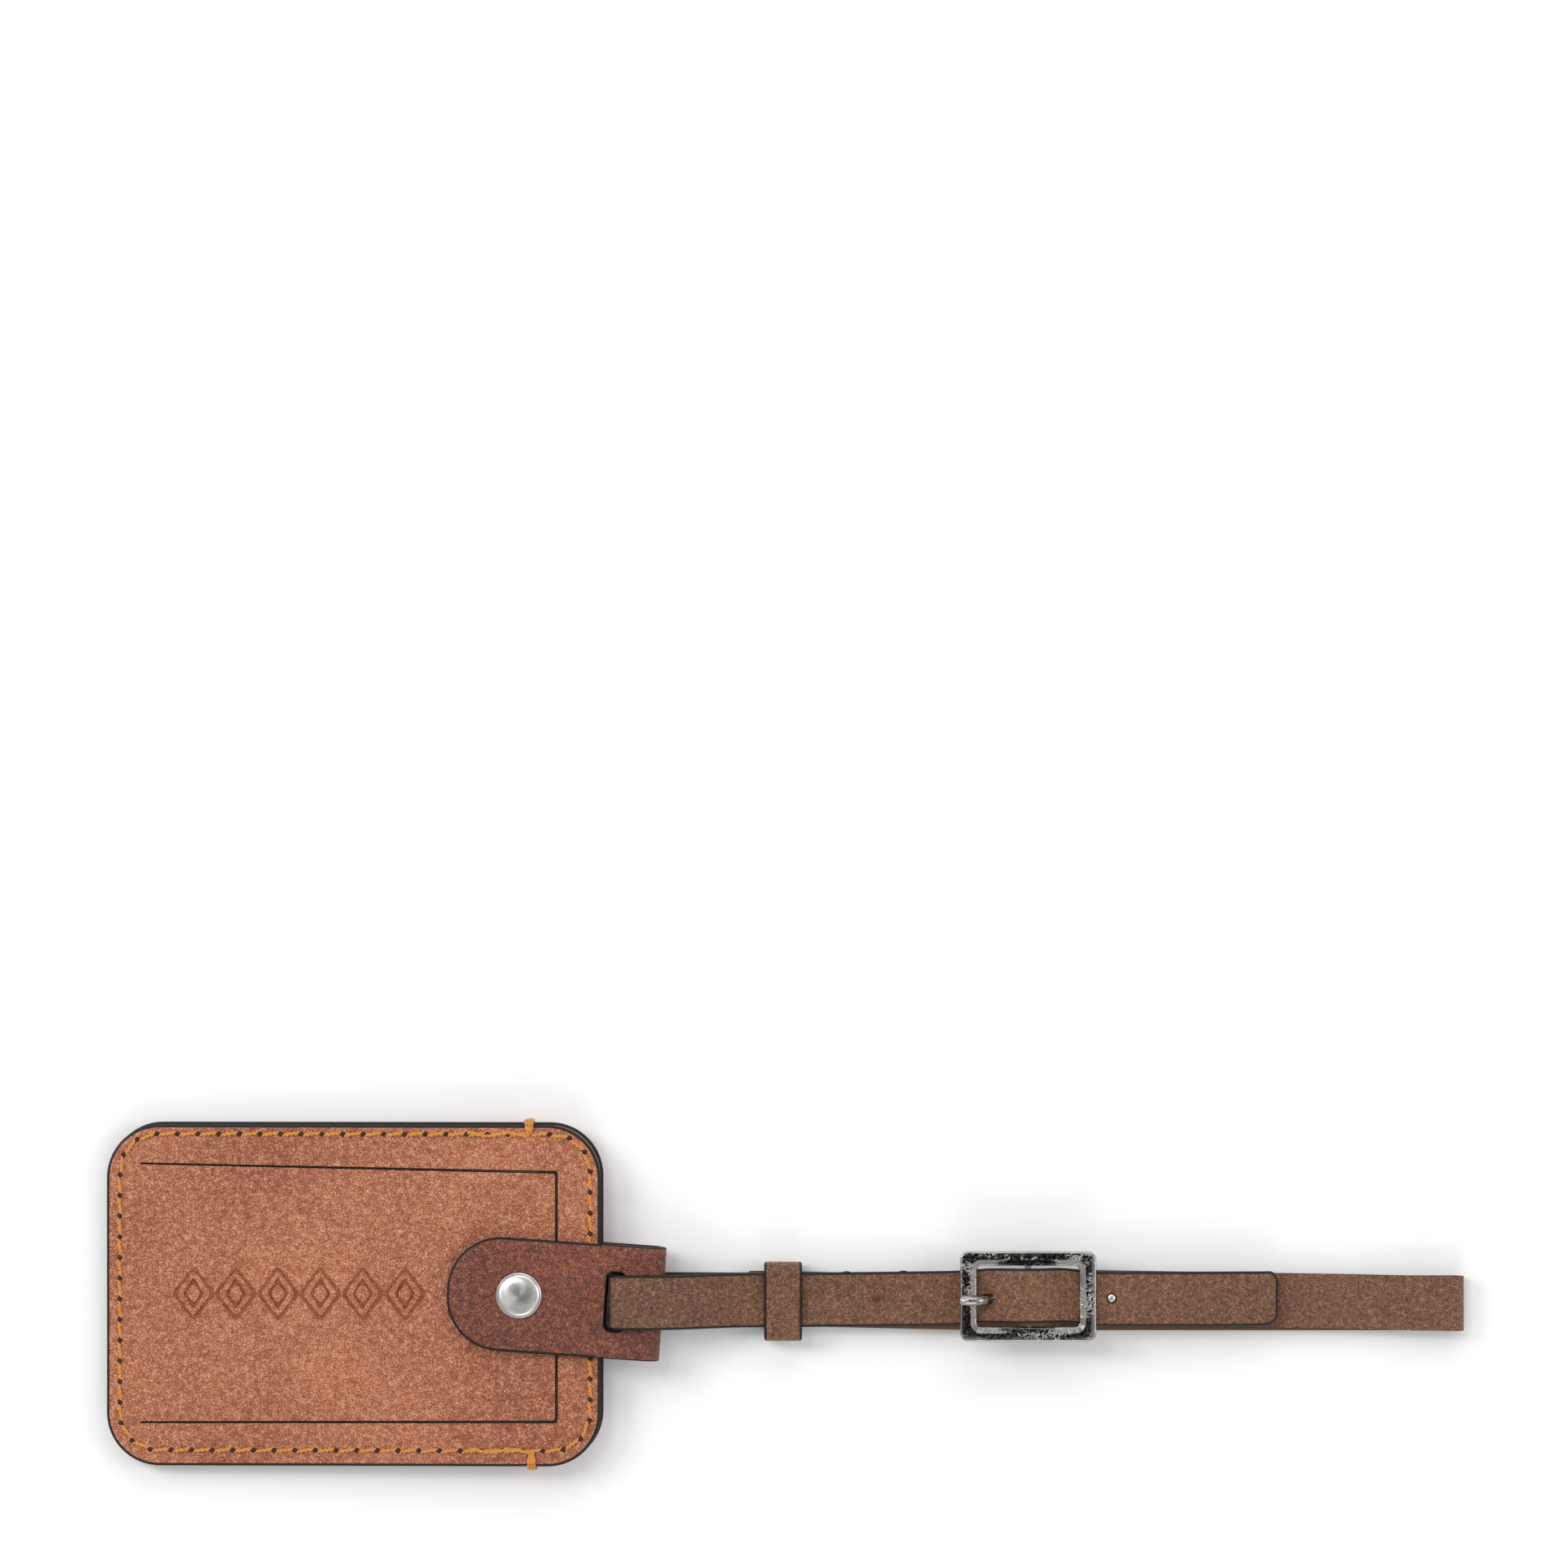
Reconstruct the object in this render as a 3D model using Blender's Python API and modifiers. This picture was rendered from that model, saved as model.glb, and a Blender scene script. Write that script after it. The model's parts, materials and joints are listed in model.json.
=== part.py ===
"""Leather luggage tag: a stitched two-panel pocket with a card flap, a snap-down closure tab and a buckled strap.

Units are metres and +Z is up. The tag lies on its back with the strap stretched out along +X. The origin is on the
surface it lies on, under the middle of its length. The pocket rests on its left edge and on the strap, so the
pocket pieces are modelled flat and then leaned by one parent empty.
"""

from math import atan2, cos, pi, radians, sin, tan

import bmesh
import bpy
from mathutils import Matrix, Vector

MM = 0.001
GAP = 0.3 * MM

# Pocket: two leather panels sewn along their edges.
PANEL_LENGTH = 107.0 * MM
PANEL_WIDTH = 73.8 * MM
PANEL_RADIUS = 11.5 * MM
PANEL_THICK = 1.3 * MM
PANEL_LEFT = -146.9 * MM
PANEL_MID_Y = -0.6 * MM
BACK_SHIFT = Vector((0.5 * MM, 0.5 * MM, 0.0))
CARD_THICK = 0.25 * MM
WINDOW_THICK = 0.2 * MM

# Card flap, cut from the front panel on three sides. Its cuts spread a little towards the hinge.
FLAP_HINGE_X = -139.5 * MM
FLAP_END_X = -49.4 * MM
FLAP_TOP = (27.9 * MM, 26.1 * MM)
FLAP_BOTTOM = (-28.1 * MM, -27.8 * MM)
CUT_HALF = 0.3 * MM

# Closure tab, folded round the mouth of the pocket and snapped to the flap.
SNAP_X = -57.4 * MM
SNAP_Y = -0.35 * MM
TAB_THICK = 1.2 * MM
TAB_WIDTH = 24.6 * MM
TAB_END = -15.6 * MM
TAB_END_RADIUS = 11.3 * MM
TAB_FOLD = 31.0 * MM
TAB_HINGE = 17.2 * MM
TAB_SLOT = (18.6 * MM, 22.9 * MM)
TAB_SLOT_WIDTH = 13.4 * MM
TAB_SLOT_RADIUS = 1.2 * MM
TAB_YAW = radians(-3.9)
SNAP_CLEAR = 0.9 * MM

# Strap: one strip, doubled back at the right end and returned to the buckle.
STRAP_THICK = 1.4 * MM
STRAP_WIDTH = 11.8 * MM
STRAP_RIGHT = 146.9 * MM
STRAP_TIP_X = 106.4 * MM
BIGHT_X = -37.2 * MM
BEND_RADIUS = 1.2 * MM
KEEPER_LIFT = 1.5 * MM
PLY = STRAP_THICK + GAP
FLEX_X = -8.0 * MM
FLEX_GAP = 2.2 * MM
TIP_HINGE_X = 78.0 * MM
TIP_GAP = 1.0 * MM
TIP_DROOP = radians(3)
HOLE_RADIUS = 1.2 * MM
HOLE_PITCH = 25.4 * MM
RIVET_X = 70.4 * MM
RIVET_Y = -1.1 * MM
PLY_END_X = 75.5 * MM
ARCH_START = 36.0 * MM
CREST_START = 52.3 * MM
CREST_END = 53.5 * MM
ARCH_END = 63.2 * MM

# Buckle: a cast frame with a centre bar, on which the strap end and the prong turn.
BUCKLE_X = 52.3 * MM
BUCKLE_Y = -0.6 * MM
BUCKLE_LENGTH = 29.4 * MM
BUCKLE_WIDTH = 19.4 * MM
BUCKLE_OPEN_LENGTH = 22.2 * MM
BUCKLE_OPEN_WIDTH = 13.2 * MM
BUCKLE_TOP = 8.8 * MM
BUCKLE_SIDE_BOTTOM = 5.9 * MM
BUCKLE_END_BOTTOM = 6.9 * MM
BAR_Z = 7.0 * MM
BAR_RADIUS = 0.7 * MM
WRAP_RADIUS = 1.7 * MM
PRONG_RADIUS = 0.85 * MM
PRONG_TIP_X = 37.6 * MM
PRONG_SLOT_WIDTH = 2.8 * MM
PRONG_LANE = BUCKLE_Y - 0.8 * MM

# Keeper: a closed leather loop that slides along the strap.
KEEPER_X = -0.6 * MM
KEEPER_Y = -2.0 * MM
KEEPER_LENGTH = 8.2 * MM
KEEPER_WIDTH = 17.0 * MM
KEEPER_THICK = 1.2 * MM

THREAD_RADIUS = 0.3 * MM
GROOVE_RADIUS = 0.62 * MM
SEAM_INSET = 2.7 * MM

# Heights in the flat pocket, from the underside of the back panel.
CARD_Z = PANEL_THICK + GAP
WINDOW_Z = CARD_Z + CARD_THICK + GAP
FRONT_Z = WINDOW_Z + WINDOW_THICK + GAP
FRONT_TOP = FRONT_Z + PANEL_THICK
LEG_Z = FRONT_TOP + SNAP_CLEAR
LEG_TOP = LEG_Z + TAB_THICK
REAR_Z = -GAP - TAB_THICK

# The pocket leans so that the rear leg of the tab clears the strap that passes under it.
LEAN = atan2(STRAP_THICK + GAP - REAR_Z, BIGHT_X - PANEL_LEFT)


def start_scene():
    """Removes what the scene holds and returns the collections for the parts and for their cutters."""
    for obj in list(bpy.data.objects):
        bpy.data.objects.remove(obj, do_unlink=True)
    made = []
    for name in ("luggage_tag", "cutters"):
        collection = bpy.data.collections.new(name)
        bpy.context.scene.collection.children.link(collection)
        made.append(collection)
    return made


PARTS, CUTTERS = start_scene()


def material(name, colour, roughness, metallic=0.0, alpha=1.0):
    made = bpy.data.materials.new(name)
    made.use_nodes = True
    shader = made.node_tree.nodes["Principled BSDF"]
    shader.inputs["Base Color"].default_value = (*colour, 1.0)
    shader.inputs["Roughness"].default_value = roughness
    shader.inputs["Metallic"].default_value = metallic
    shader.inputs["Alpha"].default_value = alpha
    return made


TAN_LEATHER = material("tan_leather", (0.49, 0.17, 0.07), 0.5)
TAB_LEATHER = material("tab_leather", (0.20, 0.055, 0.027), 0.5)
STRAP_LEATHER = material("strap_leather", (0.17, 0.085, 0.042), 0.55)
CLEAR_SHEET = material("clear_sheet", (0.9, 0.92, 0.92), 0.1, alpha=0.35)
CARD_STOCK = material("card_stock", (0.85, 0.83, 0.78), 0.8)
GOLD_THREAD = material("gold_thread", (0.61, 0.22, 0.03), 0.6)
SATIN_NICKEL = material("satin_nickel", (0.62, 0.61, 0.58), 0.32, metallic=1.0)
CAST_NICKEL = material("cast_nickel", (0.55, 0.54, 0.52), 0.18, metallic=1.0)
DARK_STEEL = material("dark_steel", (0.35, 0.34, 0.33), 0.35, metallic=1.0)


def empty(name, location, rotation, parent=None):
    made = bpy.data.objects.new(name, None)
    made.location = location
    made.rotation_euler = rotation
    made.parent = parent
    PARTS.objects.link(made)
    return made


POCKET = empty("pocket_lean", (PANEL_LEFT, 0.0, 0.0), (0.0, -LEAN, 0.0))
TAB_PIVOT = empty("tab_pivot", (SNAP_X - PANEL_LEFT, SNAP_Y, 0.0), (0.0, 0.0, TAB_YAW), POCKET)


def finish(obj, skin, parent=None, origin=(0.0, 0.0, 0.0)):
    """Gives a finished mesh object its material, its joint origin and its place under a parent."""
    obj.data.materials.clear()
    obj.data.materials.append(skin)
    shift = Vector(origin)
    obj.data.transform(Matrix.Translation(-shift))
    if parent is POCKET:
        shift = shift - Vector((PANEL_LEFT, 0.0, 0.0))
    obj.location = shift
    obj.parent = parent
    obj.data.set_sharp_from_angle(angle=radians(35))
    obj.data.shade_smooth()
    return obj


def object_of(name, mesh, collection=PARTS):
    obj = bpy.data.objects.new(name, mesh)
    collection.objects.link(obj)
    if collection is CUTTERS:
        obj.hide_render = True
        obj.display_type = "WIRE"
    return obj


def mesh_of(bm, name):
    bmesh.ops.recalc_face_normals(bm, faces=bm.faces)
    mesh = bpy.data.meshes.new(name)
    bm.to_mesh(mesh)
    bm.free()
    return mesh


def plate(name, outline, low, high, collection=PARTS):
    """A flat piece: a filled 2D outline with a thickness, made a mesh so that it can be cut."""
    curve = bpy.data.curves.new(name, "CURVE")
    curve.dimensions = "2D"
    curve.fill_mode = "BOTH"
    curve.extrude = (high - low) / 2
    spline = curve.splines.new("POLY")
    spline.points.add(len(outline) - 1)
    for point, (x, y) in zip(spline.points, outline):
        point.co = (x, y, 0.0, 1.0)
    spline.use_cyclic_u = True
    guide = bpy.data.objects.new(name + "_outline", curve)
    CUTTERS.objects.link(guide)
    graph = bpy.context.evaluated_depsgraph_get()
    mesh = bpy.data.meshes.new_from_object(guide.evaluated_get(graph))
    bpy.data.objects.remove(guide, do_unlink=True)
    bm = bmesh.new()
    bm.from_mesh(mesh)
    bmesh.ops.remove_doubles(bm, verts=bm.verts, dist=0.001 * MM)
    bmesh.ops.translate(bm, verts=bm.verts, vec=(0.0, 0.0, (low + high) / 2))
    return object_of(name, mesh_of(bm, name), collection)


def rounded(left, right, bottom, top, radius, steps=8):
    """The points of a rectangle with round corners, anticlockwise."""
    points = []
    corners = ((right, top, 0), (left, top, 1), (left, bottom, 2), (right, bottom, 3))
    for x, y, quarter in corners:
        inward_x = radius if x == left else -radius
        inward_y = radius if y == bottom else -radius
        for step in range(steps + 1):
            angle = (quarter + step / steps) * pi / 2
            points.append((x + inward_x + radius * cos(angle), y + inward_y + radius * sin(angle)))
    return points


def turned(name, profile, closed=False, steps=32, collection=PARTS):
    """A turned piece: a profile of (radius, height) from top to bottom, spun by a Screw modifier."""
    bm = bmesh.new()
    verts = [bm.verts.new((radius, 0.0, height)) for radius, height in profile]
    pairs = list(zip(verts, verts[1:]))
    if closed:
        pairs.append((verts[-1], verts[0]))
    for pair in pairs:
        bm.edges.new(pair)
    mesh = bpy.data.meshes.new(name)
    bm.to_mesh(mesh)
    bm.free()
    obj = object_of(name, mesh, collection)
    screw = obj.modifiers.new("turn", "SCREW")
    screw.steps = steps
    screw.render_steps = steps
    screw.use_merge_vertices = True
    screw.merge_threshold = 0.0001
    return obj


def round_cutter(name, centre, axis, radius, length):
    bm = bmesh.new()
    turn = Vector((0.0, 0.0, 1.0)).rotation_difference(Vector(axis)).to_matrix().to_4x4()
    bmesh.ops.create_cone(
        bm,
        cap_ends=True,
        segments=24,
        radius1=radius,
        radius2=radius,
        depth=length,
        matrix=Matrix.Translation(centre) @ turn,
    )
    return object_of(name, mesh_of(bm, name), CUTTERS)


def cut(obj, cutter):
    """Cuts one shape out of a part and bakes the result, so that later edits act on the cut mesh."""
    step = obj.modifiers.new("cut", "BOOLEAN")
    step.operation = "DIFFERENCE"
    step.object = cutter
    bake(obj)


def bake(obj):
    bpy.context.view_layer.update()
    graph = bpy.context.evaluated_depsgraph_get()
    mesh = bpy.data.meshes.new_from_object(obj.evaluated_get(graph))
    obj.modifiers.clear()
    obj.data = mesh


def tube(name, points, radius, cyclic=False, collection=PARTS):
    """A round thread or wire along a chain of points."""
    curve = bpy.data.curves.new(name, "CURVE")
    curve.dimensions = "3D"
    curve.bevel_depth = radius
    curve.bevel_resolution = 2
    curve.use_fill_caps = not cyclic
    spline = curve.splines.new("POLY")
    spline.points.add(len(points) - 1)
    for point, place in zip(spline.points, points):
        point.co = (*place, 1.0)
    spline.use_cyclic_u = cyclic
    guide = bpy.data.objects.new(name + "_path", curve)
    CUTTERS.objects.link(guide)
    graph = bpy.context.evaluated_depsgraph_get()
    mesh = bpy.data.meshes.new_from_object(guide.evaluated_get(graph))
    bpy.data.objects.remove(guide, do_unlink=True)
    bm = bmesh.new()
    bm.from_mesh(mesh)
    bmesh.ops.remove_doubles(bm, verts=bm.verts, dist=0.001 * MM)
    return object_of(name, mesh_of(bm, name), collection)


def arc(centre_x, centre_z, radius, start, end, steps=8):
    """Points along an arc in the XZ plane, angles in degrees from +X towards +Z."""
    points = []
    for step in range(steps + 1):
        angle = radians(start + (end - start) * step / steps)
        points.append((centre_x + radius * cos(angle), centre_z + radius * sin(angle)))
    return points


def ease(start, end, steps=8):
    """Points of a level-to-level S bend between two (x, z) points."""
    points = []
    for step in range(steps + 1):
        share = step / steps
        rise = (1 - cos(pi * share)) / 2
        points.append((start[0] + (end[0] - start[0]) * share, start[1] + (end[1] - start[1]) * rise))
    return points


def ribbon(name, line, width, thickness, drift):
    """A leather strip: an (x, z) centre line swept across its width, given its thickness by Solidify.

    drift(x) is how far the strip's middle lies to the side at x."""
    bm = bmesh.new()
    row = [bm.verts.new((x, -width / 2, z)) for x, z in line]
    edges = [bm.edges.new(pair) for pair in zip(row, row[1:])]
    swept = bmesh.ops.extrude_edge_only(bm, edges=edges)["geom"]
    moved = [item for item in swept if isinstance(item, bmesh.types.BMVert)]
    bmesh.ops.translate(bm, verts=moved, vec=(0.0, width, 0.0))
    for vert in bm.verts:
        vert.co.y += drift(vert.co.x)
    mesh = bpy.data.meshes.new(name)
    bm.to_mesh(mesh)
    bm.free()
    obj = object_of(name, mesh)
    wall = obj.modifiers.new("wall", "SOLIDIFY")
    wall.thickness = thickness
    wall.offset = 0.0
    wall.use_even_offset = True
    bake(obj)
    bm = bmesh.new()
    bm.from_mesh(obj.data)
    obj.data = mesh_of(bm, name)
    return obj


def smooth(share):
    """0 below 0, 1 above 1, and a smooth step between."""
    share = min(max(share, 0.0), 1.0)
    return share * share * (3 - 2 * share)


def lean_height(x, height=0.0):
    """How high a level of the pocket stands at x once the pocket leans."""
    return height + (x - PANEL_LEFT) * tan(LEAN)


def upper_drift(x):
    """The upper strap layer wanders a little: it is pulled sideways by the buckle."""
    reach = (x - BIGHT_X) / (BUCKLE_X - BIGHT_X)
    return -1.8 * MM + 0.8 * MM * min(max(reach, 0.0), 1.0) ** 2


def lower_drift(x):
    """The lower layers run straight to the buckle and swing to the other side towards the far fold."""
    if x <= BUCKLE_X:
        return -1.0 * MM - 0.6 * MM * (BUCKLE_X - x) / (BUCKLE_X - BIGHT_X)
    return -1.0 * MM - 1.5 * MM * (x - BUCKLE_X) / (STRAP_RIGHT - BUCKLE_X)


def panel_outline(inset=0.0, shift=Vector((0.0, 0.0, 0.0))):
    left = PANEL_LEFT + inset + shift.x
    right = PANEL_LEFT + PANEL_LENGTH - inset + shift.x
    low = PANEL_MID_Y - PANEL_WIDTH / 2 + inset + shift.y
    high = PANEL_MID_Y + PANEL_WIDTH / 2 - inset + shift.y
    return rounded(left, right, low, high, PANEL_RADIUS - inset)


def flap_outline(grow):
    """The flap's outline moved outwards by grow, with its small end corners left sharp."""
    return [
        (FLAP_HINGE_X - max(grow, 0.0), FLAP_BOTTOM[0] - grow),
        (FLAP_END_X + grow, FLAP_BOTTOM[1] - grow),
        (FLAP_END_X + grow, FLAP_TOP[1] + grow),
        (FLAP_HINGE_X - max(grow, 0.0), FLAP_TOP[0] + grow),
    ]


def seam(name, height, shift=Vector((0.0, 0.0, 0.0))):
    """The closed run of thread along the panel's edge, at one height."""
    points = [(x, y, height) for x, y in panel_outline(SEAM_INSET, shift)]
    return tube(name, points, THREAD_RADIUS, cyclic=True), points


def panels():
    thread, line = seam("front_seam_thread", FRONT_TOP - 0.05 * MM)
    finish(thread, GOLD_THREAD, POCKET)
    front = plate("front_panel", panel_outline(), FRONT_Z, FRONT_TOP)
    cut(front, plate("flap_opening", flap_outline(CUT_HALF), FRONT_Z - MM, FRONT_TOP + MM, CUTTERS))
    cut(front, tube("front_groove", line, GROOVE_RADIUS, cyclic=True, collection=CUTTERS))
    finish(front, TAN_LEATHER, POCKET)

    thread, line = seam("back_seam_thread", 0.05 * MM, BACK_SHIFT)
    finish(thread, GOLD_THREAD, POCKET)
    back = plate("back_panel", panel_outline(0.0, BACK_SHIFT), 0.0, PANEL_THICK)
    cut(back, tube("back_groove", line, GROOVE_RADIUS, cyclic=True, collection=CUTTERS))
    cut(back, round_cutter("rivet_bore", (SNAP_X, SNAP_Y, 0.0), (0, 0, 1), 1.5 * MM, 6 * MM))
    cut(back, round_cutter("rivet_recess", (SNAP_X, SNAP_Y, 1.5 * MM), (0, 0, 1), 3.2 * MM, 2 * MM))
    finish(back, TAN_LEATHER, POCKET)


def edge_tack(name, x, edge, outward, shift):
    """Thread wrapped over the edge where the pocket's mouth begins, from the front seam to the back seam."""
    inner = edge - outward * SEAM_INSET
    clear = THREAD_RADIUS + GAP
    outer = edge + outward * (clear + shift)
    points = [
        (x, inner, FRONT_TOP + clear + 0.3 * MM),
        (x, edge, FRONT_TOP + clear),
        (x, outer, FRONT_TOP - 0.2 * MM),
        (x, outer, 0.2 * MM),
        (x, edge, -clear),
        (x, inner, -clear - 0.3 * MM),
    ]
    finish(tube(name, points, THREAD_RADIUS), GOLD_THREAD, POCKET)


def pocket_contents():
    card = plate(
        "address_card",
        rounded(-138.0 * MM, -52.4 * MM, -27.6 * MM, 26.4 * MM, 2.0 * MM, steps=4),
        CARD_Z,
        CARD_Z + CARD_THICK,
    )
    finish(card, CARD_STOCK, POCKET)
    window = plate(
        "window_sheet",
        rounded(-143.2 * MM, -44.5 * MM, -32.2 * MM, 31.4 * MM, 3.0 * MM, steps=4),
        WINDOW_Z,
        WINDOW_Z + WINDOW_THICK,
    )
    finish(window, CLEAR_SHEET, POCKET)


def card_flap():
    hinge = (FLAP_HINGE_X, 0.0, FRONT_TOP)
    flap = plate("card_flap", flap_outline(-CUT_HALF), FRONT_Z, FRONT_TOP)
    cut(flap, round_cutter("stud_bore", (SNAP_X, SNAP_Y, FRONT_Z), (0, 0, 1), 1.5 * MM, 6 * MM))
    low = FRONT_Z + 0.65 * MM - MM
    cut(flap, round_cutter("stud_recess", (SNAP_X, SNAP_Y, low), (0, 0, 1), 3.4 * MM, 2 * MM))
    finish(flap, TAN_LEATHER, POCKET, hinge)


def at_snap(obj, skin, height=0.0):
    """Places a turned snap piece on the snap's axis, in the leaning pocket."""
    finish(obj, skin, POCKET)
    obj.location = (SNAP_X - PANEL_LEFT, SNAP_Y, height)
    return obj


def snap():
    """A snap in four pieces: post and stud on the flap, socket and cap on the tab."""
    post = [(0.0, 5.05), (1.15, 5.05), (1.15, 3.1), (3.0, 3.1), (3.0, 2.8), (0.0, 2.8)]
    at_snap(turned("snap_post", [(r * MM, z * MM) for r, z in post]), DARK_STEEL)
    stud = [(1.45, 5.3), (1.75, 5.15), (1.9, 4.9), (1.75, 4.65), (1.75, 4.5), (3.1, 4.5), (3.1, 4.25), (1.45, 4.25)]
    at_snap(turned("snap_stud", [(r * MM, z * MM) for r, z in stud], closed=True), SATIN_NICKEL)
    socket = [(2.3, 5.9), (3.5, 5.9), (3.5, 4.85), (2.3, 4.85)]
    made = turned("snap_socket", [(r * MM, z * MM) for r, z in socket], closed=True)
    at_snap(made, SATIN_NICKEL)
    rim = LEG_TOP / MM + 0.3
    dome = [(5.0 * sin(radians(a)), rim + 0.35 + 1.0 * cos(radians(a))) for a in range(0, 91, 10)]
    cap = [*dome, (5.0, rim), (0.0, rim)]
    at_snap(turned("snap_cap", [(r * MM, z * MM) for r, z in cap]), SATIN_NICKEL)


def rear_rivet():
    """The rivet that holds the tab's rear leg to the back panel, on the snap's axis."""
    shank = [(0.0, 1.2), (2.8, 1.2), (2.8, 0.85), (1.15, 0.85), (1.15, -2.0), (0.0, -2.0)]
    at_snap(turned("rear_rivet_post", [(r * MM, z * MM) for r, z in shank]), DARK_STEEL)
    cap = [(0.0, -2.3), (1.45, -2.3), (1.45, -1.8), (4.2, -1.8), (4.2, -2.0), (3.4, -2.35), (0.0, -2.45)]
    at_snap(turned("rear_rivet_cap", [(r * MM, z * MM) for r, z in cap]), SATIN_NICKEL)


def tab_end_outline(right):
    """The leg of the tab in its own frame: a full round end on the left and a square end at right."""
    half = TAB_WIDTH / 2
    points = [(right, -half), (right, half)]
    for quarter, side in ((1, 1), (2, -1)):
        for step in range(9):
            angle = (quarter + step / 8) * pi / 2
            x = TAB_END + TAB_END_RADIUS * (1 + cos(angle))
            points.append((x, side * (half - TAB_END_RADIUS) + TAB_END_RADIUS * sin(angle)))
    return points


def closure_tab():
    """The tab in its own frame, centred on the snap: a rear leg, a fold with two slots and a lifting front leg."""
    radius = (LEG_TOP - REAR_Z - TAB_THICK) / 2
    middle = (LEG_TOP + REAR_Z) / 2
    low = REAR_Z + TAB_THICK / 2
    high = LEG_TOP - TAB_THICK / 2
    turn = TAB_FOLD - radius - TAB_THICK / 2
    line = [(TAB_END, low), (TAB_SLOT[0], low), *arc(turn, middle, radius, -90, 90, 14)]
    line += [(TAB_HINGE + GAP, high)]
    rear = ribbon("tab_rear_and_fold", line, TAB_WIDTH, TAB_THICK, lambda x: 0.0)
    corner = 14 * MM
    outside = plate("end_rounding", rounded(-60 * MM, TAB_HINGE, -corner, corner, 1.0 * MM), -3 * MM, 2 * MM, CUTTERS)
    cut(outside, plate("end_keep", tab_end_outline(TAB_FOLD), -4 * MM, 3 * MM, CUTTERS))
    cut(rear, outside)
    half = TAB_SLOT_WIDTH / 2
    slot = rounded(TAB_SLOT[0], TAB_SLOT[1], -half, half, TAB_SLOT_RADIUS, steps=4)
    cut(rear, plate("strap_slots", slot, REAR_Z - MM, LEG_TOP + MM, CUTTERS))
    cut(rear, round_cutter("rear_leg_bore", (0.0, 0.0, REAR_Z), (0, 0, 1), 1.5 * MM, 6 * MM))
    finish(rear, TAB_LEATHER)
    rear.parent = TAB_PIVOT

    front = plate("tab_front_leg", tab_end_outline(TAB_HINGE - GAP), LEG_Z, LEG_TOP)
    cut(front, round_cutter("socket_bore", (0.0, 0.0, LEG_Z), (0, 0, 1), 3.8 * MM, 6 * MM))
    finish(front, TAB_LEATHER, None, (TAB_HINGE, 0.0, LEG_TOP))
    front.parent = TAB_PIVOT


def strap_bight():
    """The end of the strap's loop: under the tab, up through its slots and back over the fold."""
    high = lean_height(SNAP_X + TAB_FOLD, LEG_TOP) + GAP + STRAP_THICK / 2
    low = STRAP_THICK / 2
    end = FLEX_X - FLEX_GAP / 2
    line = ease((end, KEEPER_LIFT + low), (-26.0 * MM, low))
    line += arc(BIGHT_X + BEND_RADIUS, low + BEND_RADIUS, BEND_RADIUS, -90, -180, 6)
    line += arc(BIGHT_X + BEND_RADIUS, high - BEND_RADIUS, BEND_RADIUS, 180, 90, 6)
    line += ease((-28.0 * MM, high), (end, KEEPER_LIFT + PLY + low), 12)
    return finish(ribbon("strap_bight", line, STRAP_WIDTH, STRAP_THICK, upper_drift), STRAP_LEATHER)


def strap_loop():
    """The strap from the flex line to the far fold and back to the buckle bar, where its end is riveted down."""
    low = STRAP_THICK / 2
    start = FLEX_X + FLEX_GAP / 2
    fold_radius = 1.5 * MM
    turn = STRAP_RIGHT - fold_radius - low
    line = [(start, KEEPER_LIFT + low)]
    line += ease((38.0 * MM, KEEPER_LIFT + low), (60.0 * MM, low))
    line += arc(turn, low + fold_radius, fold_radius, -90, 90, 12)
    line += ease((138.0 * MM, low + 2 * fold_radius), (122.0 * MM, low + PLY))
    line += ease((RIVET_X - 2.0 * MM, low + PLY), (BUCKLE_X + 0.5 * MM, BAR_Z - WRAP_RADIUS))
    line += arc(BUCKLE_X, BAR_Z, WRAP_RADIUS, -100, -270, 12)
    line += ease((BUCKLE_X + 0.5 * MM, BAR_Z + WRAP_RADIUS), (RIVET_X - 8.9 * MM, low + 2 * PLY))
    line += [(PLY_END_X, low + 2 * PLY)]
    loop = ribbon("strap_loop", line, STRAP_WIDTH, STRAP_THICK, lower_drift)
    half = PRONG_SLOT_WIDTH / 2
    slot = rounded(BUCKLE_X - 5.5 * MM, BUCKLE_X + 2.4 * MM, PRONG_LANE - half, PRONG_LANE + half, 1.0 * MM, 3)
    cut(loop, plate("prong_slot", slot, 4.2 * MM, 12 * MM, CUTTERS))
    cut(loop, round_cutter("rivet_hole", (RIVET_X, RIVET_Y, 3.4 * MM), (0, 0, 1), 1.1 * MM, 3.6 * MM))
    return finish(loop, STRAP_LEATHER)


def strap_rivet():
    """A small rivet through the strap and its folded end."""
    low = PLY - GAP / 2
    high = 2 * PLY + STRAP_THICK
    profile = [(0.0, high + 0.2 * MM), (0.6 * MM, high + 0.15 * MM), (0.8 * MM, high - 0.1 * MM)]
    profile += [(0.8 * MM, low + GAP), (0.0, low + GAP)]
    made = finish(turned("strap_rivet", profile, steps=20), SATIN_NICKEL)
    made.location = (RIVET_X, RIVET_Y, 0.0)


def upper_height(x):
    """The middle of the strap's upper layer: level, up over the buckle bar, and down onto the folded end."""
    level = KEEPER_LIFT + PLY + STRAP_THICK / 2
    top = BAR_Z + WRAP_RADIUS + STRAP_THICK + GAP
    beyond = 3 * PLY + STRAP_THICK / 2
    if x <= CREST_START:
        return level + (top - level) * smooth((x - ARCH_START) / (CREST_START - ARCH_START))
    return top + (beyond - top) * smooth((x - CREST_END) / (ARCH_END - CREST_END))


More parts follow.
